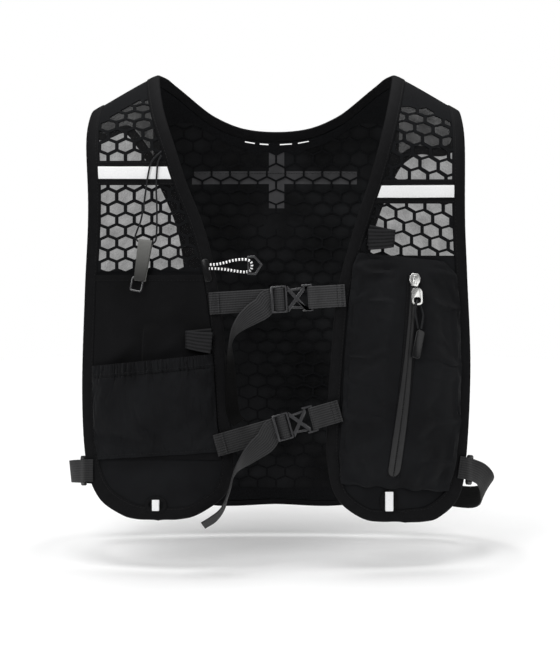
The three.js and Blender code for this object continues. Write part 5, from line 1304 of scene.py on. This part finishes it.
ribbed_elastic = webbing_material("ribbed_elastic", "#060607", "#242426", 0.0031, 0.0012)
for name, place, way in (("left_elastic_loop", (-57.5, -238, 3.45), -1),
                         ("right_elastic_loop", (82.6, -145, 1.8, 0.1), 1)):
    origin, axes = seat(*place)
    reach, share, drop = np.array(LOOP_STATIONS).T
    local = np.stack([way * reach, -LOOP["base"] - share * LOOP["rise"], -drop], -1)
    wide = LOOP["width"] * np.interp(reach, [0, reach.max()], [1.0, LOOP["narrow"]])
    piece, *_ = band(name + "_sewn", origin + local @ axes.T, np.tile(axes[:, 2], (len(local), 1)), wide, LOOP["thick"],
                     ribbed_elastic, 0.7)
    dress(piece, "tape", name)

# Bright tabs: short folds of the reflective film, sewn through the cloth near the bottom of each front. A
# flat ring of dark tape is sewn round each as an eyelet.
TAB = {"thick": 0.9, "base": 0.6, "fold": 2.2, "eyelet_width": 3.4, "eyelet_thick": 1.2, "eyelet_in": 0.35}
TABS = {"left": {"place": (-107.6, -387, 2.75), "width": 6.2, "length": 9.5, "eyelet": (8.4, 6.6)},
        "right": {"place": (101.2, -383.5, 2.75), "width": 7, "length": 17, "eyelet": (6.4, 9.4)}}
TAB_FOLD = [(2, 0), (0.4, 0.3), (0, 1.1), (0.4, 1.9), (2, 2.2)]  # up from the bottom, and out
for side, tab in TABS.items():
    origin, axes = seat(*tab["place"])
    half = tab["length"] / 2
    folded = [(tab["length"], 0)] + TAB_FOLD + [(tab["length"], TAB["fold"])]
    local = np.array([(0, -TAB["base"] - out, up - half) for up, out in folded])
    piece, *_ = band(f"{side}_bright_tab_fold", origin + local @ axes.T, np.tile(axes[:, 0], (len(local), 1)),
                     tab["width"], TAB["thick"], reflective_film, 0.4)
    dress(piece, "bright", f"{side}_bright_tab")
    turn = np.linspace(0, 2 * np.pi, 49)
    wide, tall = tab["eyelet"]
    ring = np.stack([wide * np.cos(turn), np.full(len(turn), TAB["eyelet_in"]), tall * np.sin(turn)], -1)
    outwards = unit(ring * np.array([1, 0, 1])) @ axes.T
    eyelet, *_ = band(f"{side}_tab_eyelet", origin + ring @ axes.T, outwards, TAB["eyelet_width"], TAB["eyelet_thick"],
                      woven_tape, 0.8)
    dress(eyelet, "tape")

# Shoulder tab: a strip of webbing tape doubled over the cord's lower end and sewn to itself. A moulded ring
# is held in the open end of the fold.
CORD_TAB = {"place": (-116.5, -150.8, 4.4, 0.115, -0.18), "width": 12, "thick": 1.0, "bend": 2.15, "length": 35}
woven_webbing = webbing_material("woven_polyester_webbing", "#272728", "#414142", 0.0021, 0.0014)
# Webbing tape of the tab: smooth, lighter at the bend as a painted highlight, and darker towards its lower end as
# painted shade
highlit_tab_tape = webbing_material("webbing_tape_painted_highlight", "#6a6a68", "#7d7d7a", 0.001, 0.0012, 0.3, (0.036, 0.074, 0.18))
origin, axes = seat(*CORD_TAB["place"])
arc = np.radians(np.arange(30, 151, 20))
bend = CORD_TAB["bend"]
local = [(0, bend, -CORD_TAB["length"]), (0, bend, -1)] + [(0, bend * math.cos(a), bend * math.sin(a)) for a in arc]
local += [(0, -bend, -1), (0, -bend, -CORD_TAB["length"])]
wide = CORD_TAB["width"] * np.interp([row[2] for row in local], [-CORD_TAB["length"], 0], [0.84, 1.04])
shoulder_tab, *_ = band("shoulder_tab_webbing", origin + np.array(local) @ axes.T, np.tile(axes[:, 0], (len(local), 1)),
                        wide, CORD_TAB["thick"], highlit_tab_tape, 0.6)
dress(shoulder_tab, "webbing", "shoulder_tab")
shoulder_ring = softened("shoulder_ring", 0.4, moulded_plastic, "plastic")

# Bungee hook and tab: a moulded acetal hook that the doubled cord runs through, and the small tab that
# covers the cord's two ends where they are sewn to the binding
bungee_hook = softened("bungee_hook", 0.4, moulded_plastic, "plastic")
softened("bungee_tab", 0.4, moulded_grip, "webbing")

# Chest straps: two adjustable straps of woven webbing. Each left strap runs from the left front through
# the buckle and hangs as a loose tail, and each right strap is a short loop sewn to the right front.
WEBBING = {"width": 20, "thick": 1.3}
CHEST_STRAPS = {
    # The tail's rows are x, z, distance out and turn in degrees
    "upper": {"place": (10.3, -85.6, -201.6), "tilt": 0.06, "left": -70, "right": 52, "tail": [
        (-12, -209.5, 2.4, 8), (-20, -214.5, 4.5, 22), (-30, -222, 7, 48), (-37.5, -231, 9, 72), (-40.8, -241, 10, 84),
        (-41, -257, 10, 72), (-40.4, -279, 10, 62), (-39.6, -297, 10, 56), (-37.5, -307, 10.5, 56),
        (-33, -312.5, 11, 56)]},
    "lower": {"place": (13.5, -84.2, -314.5), "tilt": 0.276, "left": -70, "right": 46, "tail": [
        (-9, -329.5, 2.6, 10), (-17, -336, 5, 28), (-26, -344, 8, 52), (-34, -352.5, 10.5, 76), (-38.6, -361, 11.5, 88),
        (-41.4, -372, 12, 88), (-44.6, -382, 12, 86), (-48.5, -391, 12, 80), (-56, -399, 12, 72),
        (-65.5, -405, 12, 72)]},
}
THREADING = [  # x and y in the strap's own frame
    (-16, 0), (-12.5, -0.05), (-9.5, -0.9), (-6.5, -1.7), (-4.3, -2.2), (-3.4, -3.95), (-4.3, -5.7), (-6.5, -6.35),
    (-8.7, -5.7), (-10, -4.1), (-11.2, -2.6), (-12.5, -1.65), (-14, -1.6), (-17, -1.7),
]
AROUND = [(26, -2.6), (22.6, -3.3), (20.2, -3.3), (18.9, -5.2), (20.2, -7.1), (22.6, -7.1), (26, -6), (30, -3.8)]
# The same webbing, darker along the hanging tail, where it turns out of the light
shaded_webbing = webbing_material("woven_polyester_webbing_tail", "#272728", "#414142", 0.0021, 0.0014, 0.05,
                                  (0.13, 0.165, 0.05))
# The lower strap's webbing: the same webbing with darker colours, painted shade
shaded_lower_webbing = webbing_material("woven_polyester_webbing_lower_shaded", "#1d1d1e", "#353536", 0.0021, 0.0014)
SEAM_ACROSS = np.linspace(-9, 9, 12)[:, None]
strap_seams = []
for name, strap in CHEST_STRAPS.items():
    lean = strap["tilt"]
    sideways = np.array([math.cos(lean), 0, math.sin(lean)])
    upwards = np.array([-math.sin(lean), 0, math.cos(lean)])
    to_world = lambda rows: np.array(strap["place"]) + np.array([x * sideways + np.array([0, y, 0]) for x, y in rows])
    left = strap["left"]
    fold_back = [(left + 8.5, -1.45), (left + 4, -1.45), (left + 0.9, -1.45), (left, -0.72), (left + 0.9, 0)]
    threaded = to_world(fold_back + [(left / 2, 0)] + THREADING)
    tail = np.array([(x, strap["place"][1] - out, z) for x, z, out, _ in strap["tail"]])
    along = unit(np.gradient(np.vstack([threaded[-1:], tail]), axis=0)[1:] * np.array([1, 0, 1]))
    turn = np.radians([row[3] for row in strap["tail"]])
    across = np.stack([along[:, 2] * np.cos(turn), -np.sin(turn), -along[:, 0] * np.cos(turn)], -1)
    across = np.vstack([np.tile(upwards, (len(threaded), 1)), across])
    piece, *_ = band(name + "_strap_left_webbing", np.vstack([threaded, tail]), across, WEBBING["width"],
                     WEBBING["thick"], shaded_webbing if name == "upper" else shaded_lower_webbing)
    dress(piece, "webbing", name + "_strap_left")
    right = strap["right"]
    around = to_world([(right, 0), (right - 10, 0)] + AROUND + [(right - 10, -1.75), (right, -1.7)])
    piece, *_ = band(name + "_strap_right_webbing", around, np.tile(upwards, (len(around), 1)), WEBBING["width"],
                     WEBBING["thick"], woven_webbing if name == "upper" else shaded_lower_webbing, 0.7)
    dress(piece, "webbing", name + "_strap_right")
    for x, out in [(left + v, -2.15) for v in (1.6, 2.8, 4.0, 5.2, 6.4)] + [(right - v, -2.45) for v in (2, 3.2, 7)]:
        strap_seams.append(to_world([(x, out)]) + upwards * SEAM_ACROSS)

# Buckles: side-release buckles moulded from acetal, one on each chest strap. The frame holds the webbing's
# two ends, and the crossed front is the half that clips into it.
for name in CHEST_STRAPS:
    softened(name + "_buckle_frame", 0.45, moulded_plastic, "plastic")
    softened(name + "_buckle_cross", 0.45, moulded_plastic, "plastic")

# Side straps: the same webbing from each front round the side to the back, sewn down at both ends. A
# moulded slider near the front sets its length, and past it the strap turns out of the light.
SIDE_STRAPS = {  # ends on the cloth as x and z, and rows of x, y, z and lean between them
    "right": {"hand": 1, "front": [(163, -353), (169, -354)], "back": [(142, -378), (127, -376)], "rows": [
        (177.5, -43, -356, 0.05), (185.5, -28, -360, 0.3), (190.5, -12, -366.5, 0.6), (191.5, 3, -372.5, 0.6),
        (189, 18, -378, 0.4), (182, 34, -381.5, 0.2), (172, 47, -382, 0.1)]},
    "left": {"hand": -1, "front": [(163, -356), (169, -356)], "back": [(149, -361), (125, -362)], "rows": [
        (176.5, -43, -356.5, 0), (182, -28, -357, 0.05), (185.5, -12, -357.6, 0.1), (186, 3, -358, 0.1),
        (183.5, 18, -358.4, 0.1), (177, 34, -359, 0.1), (167, 47, -360, 0.05)]},
}
ON_BINDING, ON_STRAP = 4.5, 0.75
# The side straps' webbing: the same webbing with darker colours as painted shade, and a fade that paints it darker
# still past the slider, where it turns out of the light
shaded_side_webbing = webbing_material("woven_polyester_webbing_side", "#19191a", "#2e2e2f", 0.0021, 0.0014, 0.2,
                                  (0.034, 0.06, 0.12))
for side, strap in SIDE_STRAPS.items():
    hand = strap["hand"]
    ends = {face: [cloth_point(hand * x, way * run_to(hand * x, z), ON_BINDING) for x, z in strap[face]]
            for face, way in (("front", 1), ("back", -1))}
    stations = ends["front"] + [(hand * x, y, z) for x, y, z, _ in strap["rows"]] + ends["back"]
    leans = np.array([0, 0] + [row[3] for row in strap["rows"]] + [0, 0])
    across = np.stack([hand * np.sin(leans), np.zeros(len(leans)), np.cos(leans)], -1)
    piece, line, wide, out = band(side + "_side_strap_webbing", np.array(stations), across, WEBBING["width"],
                                  WEBBING["thick"], shaded_side_webbing)
    dress(piece, "webbing", side + "_side_strap")
    softened(side + "_side_slider", 0.45, shaded_plastic, "plastic")
    strap_seams += [line[i] + wide[i] * SEAM_ACROSS + out[i] * ON_STRAP for i in (2, -3)]
sew("strap_stitches", strap_seams, "webbing", 2.4, 1.8)
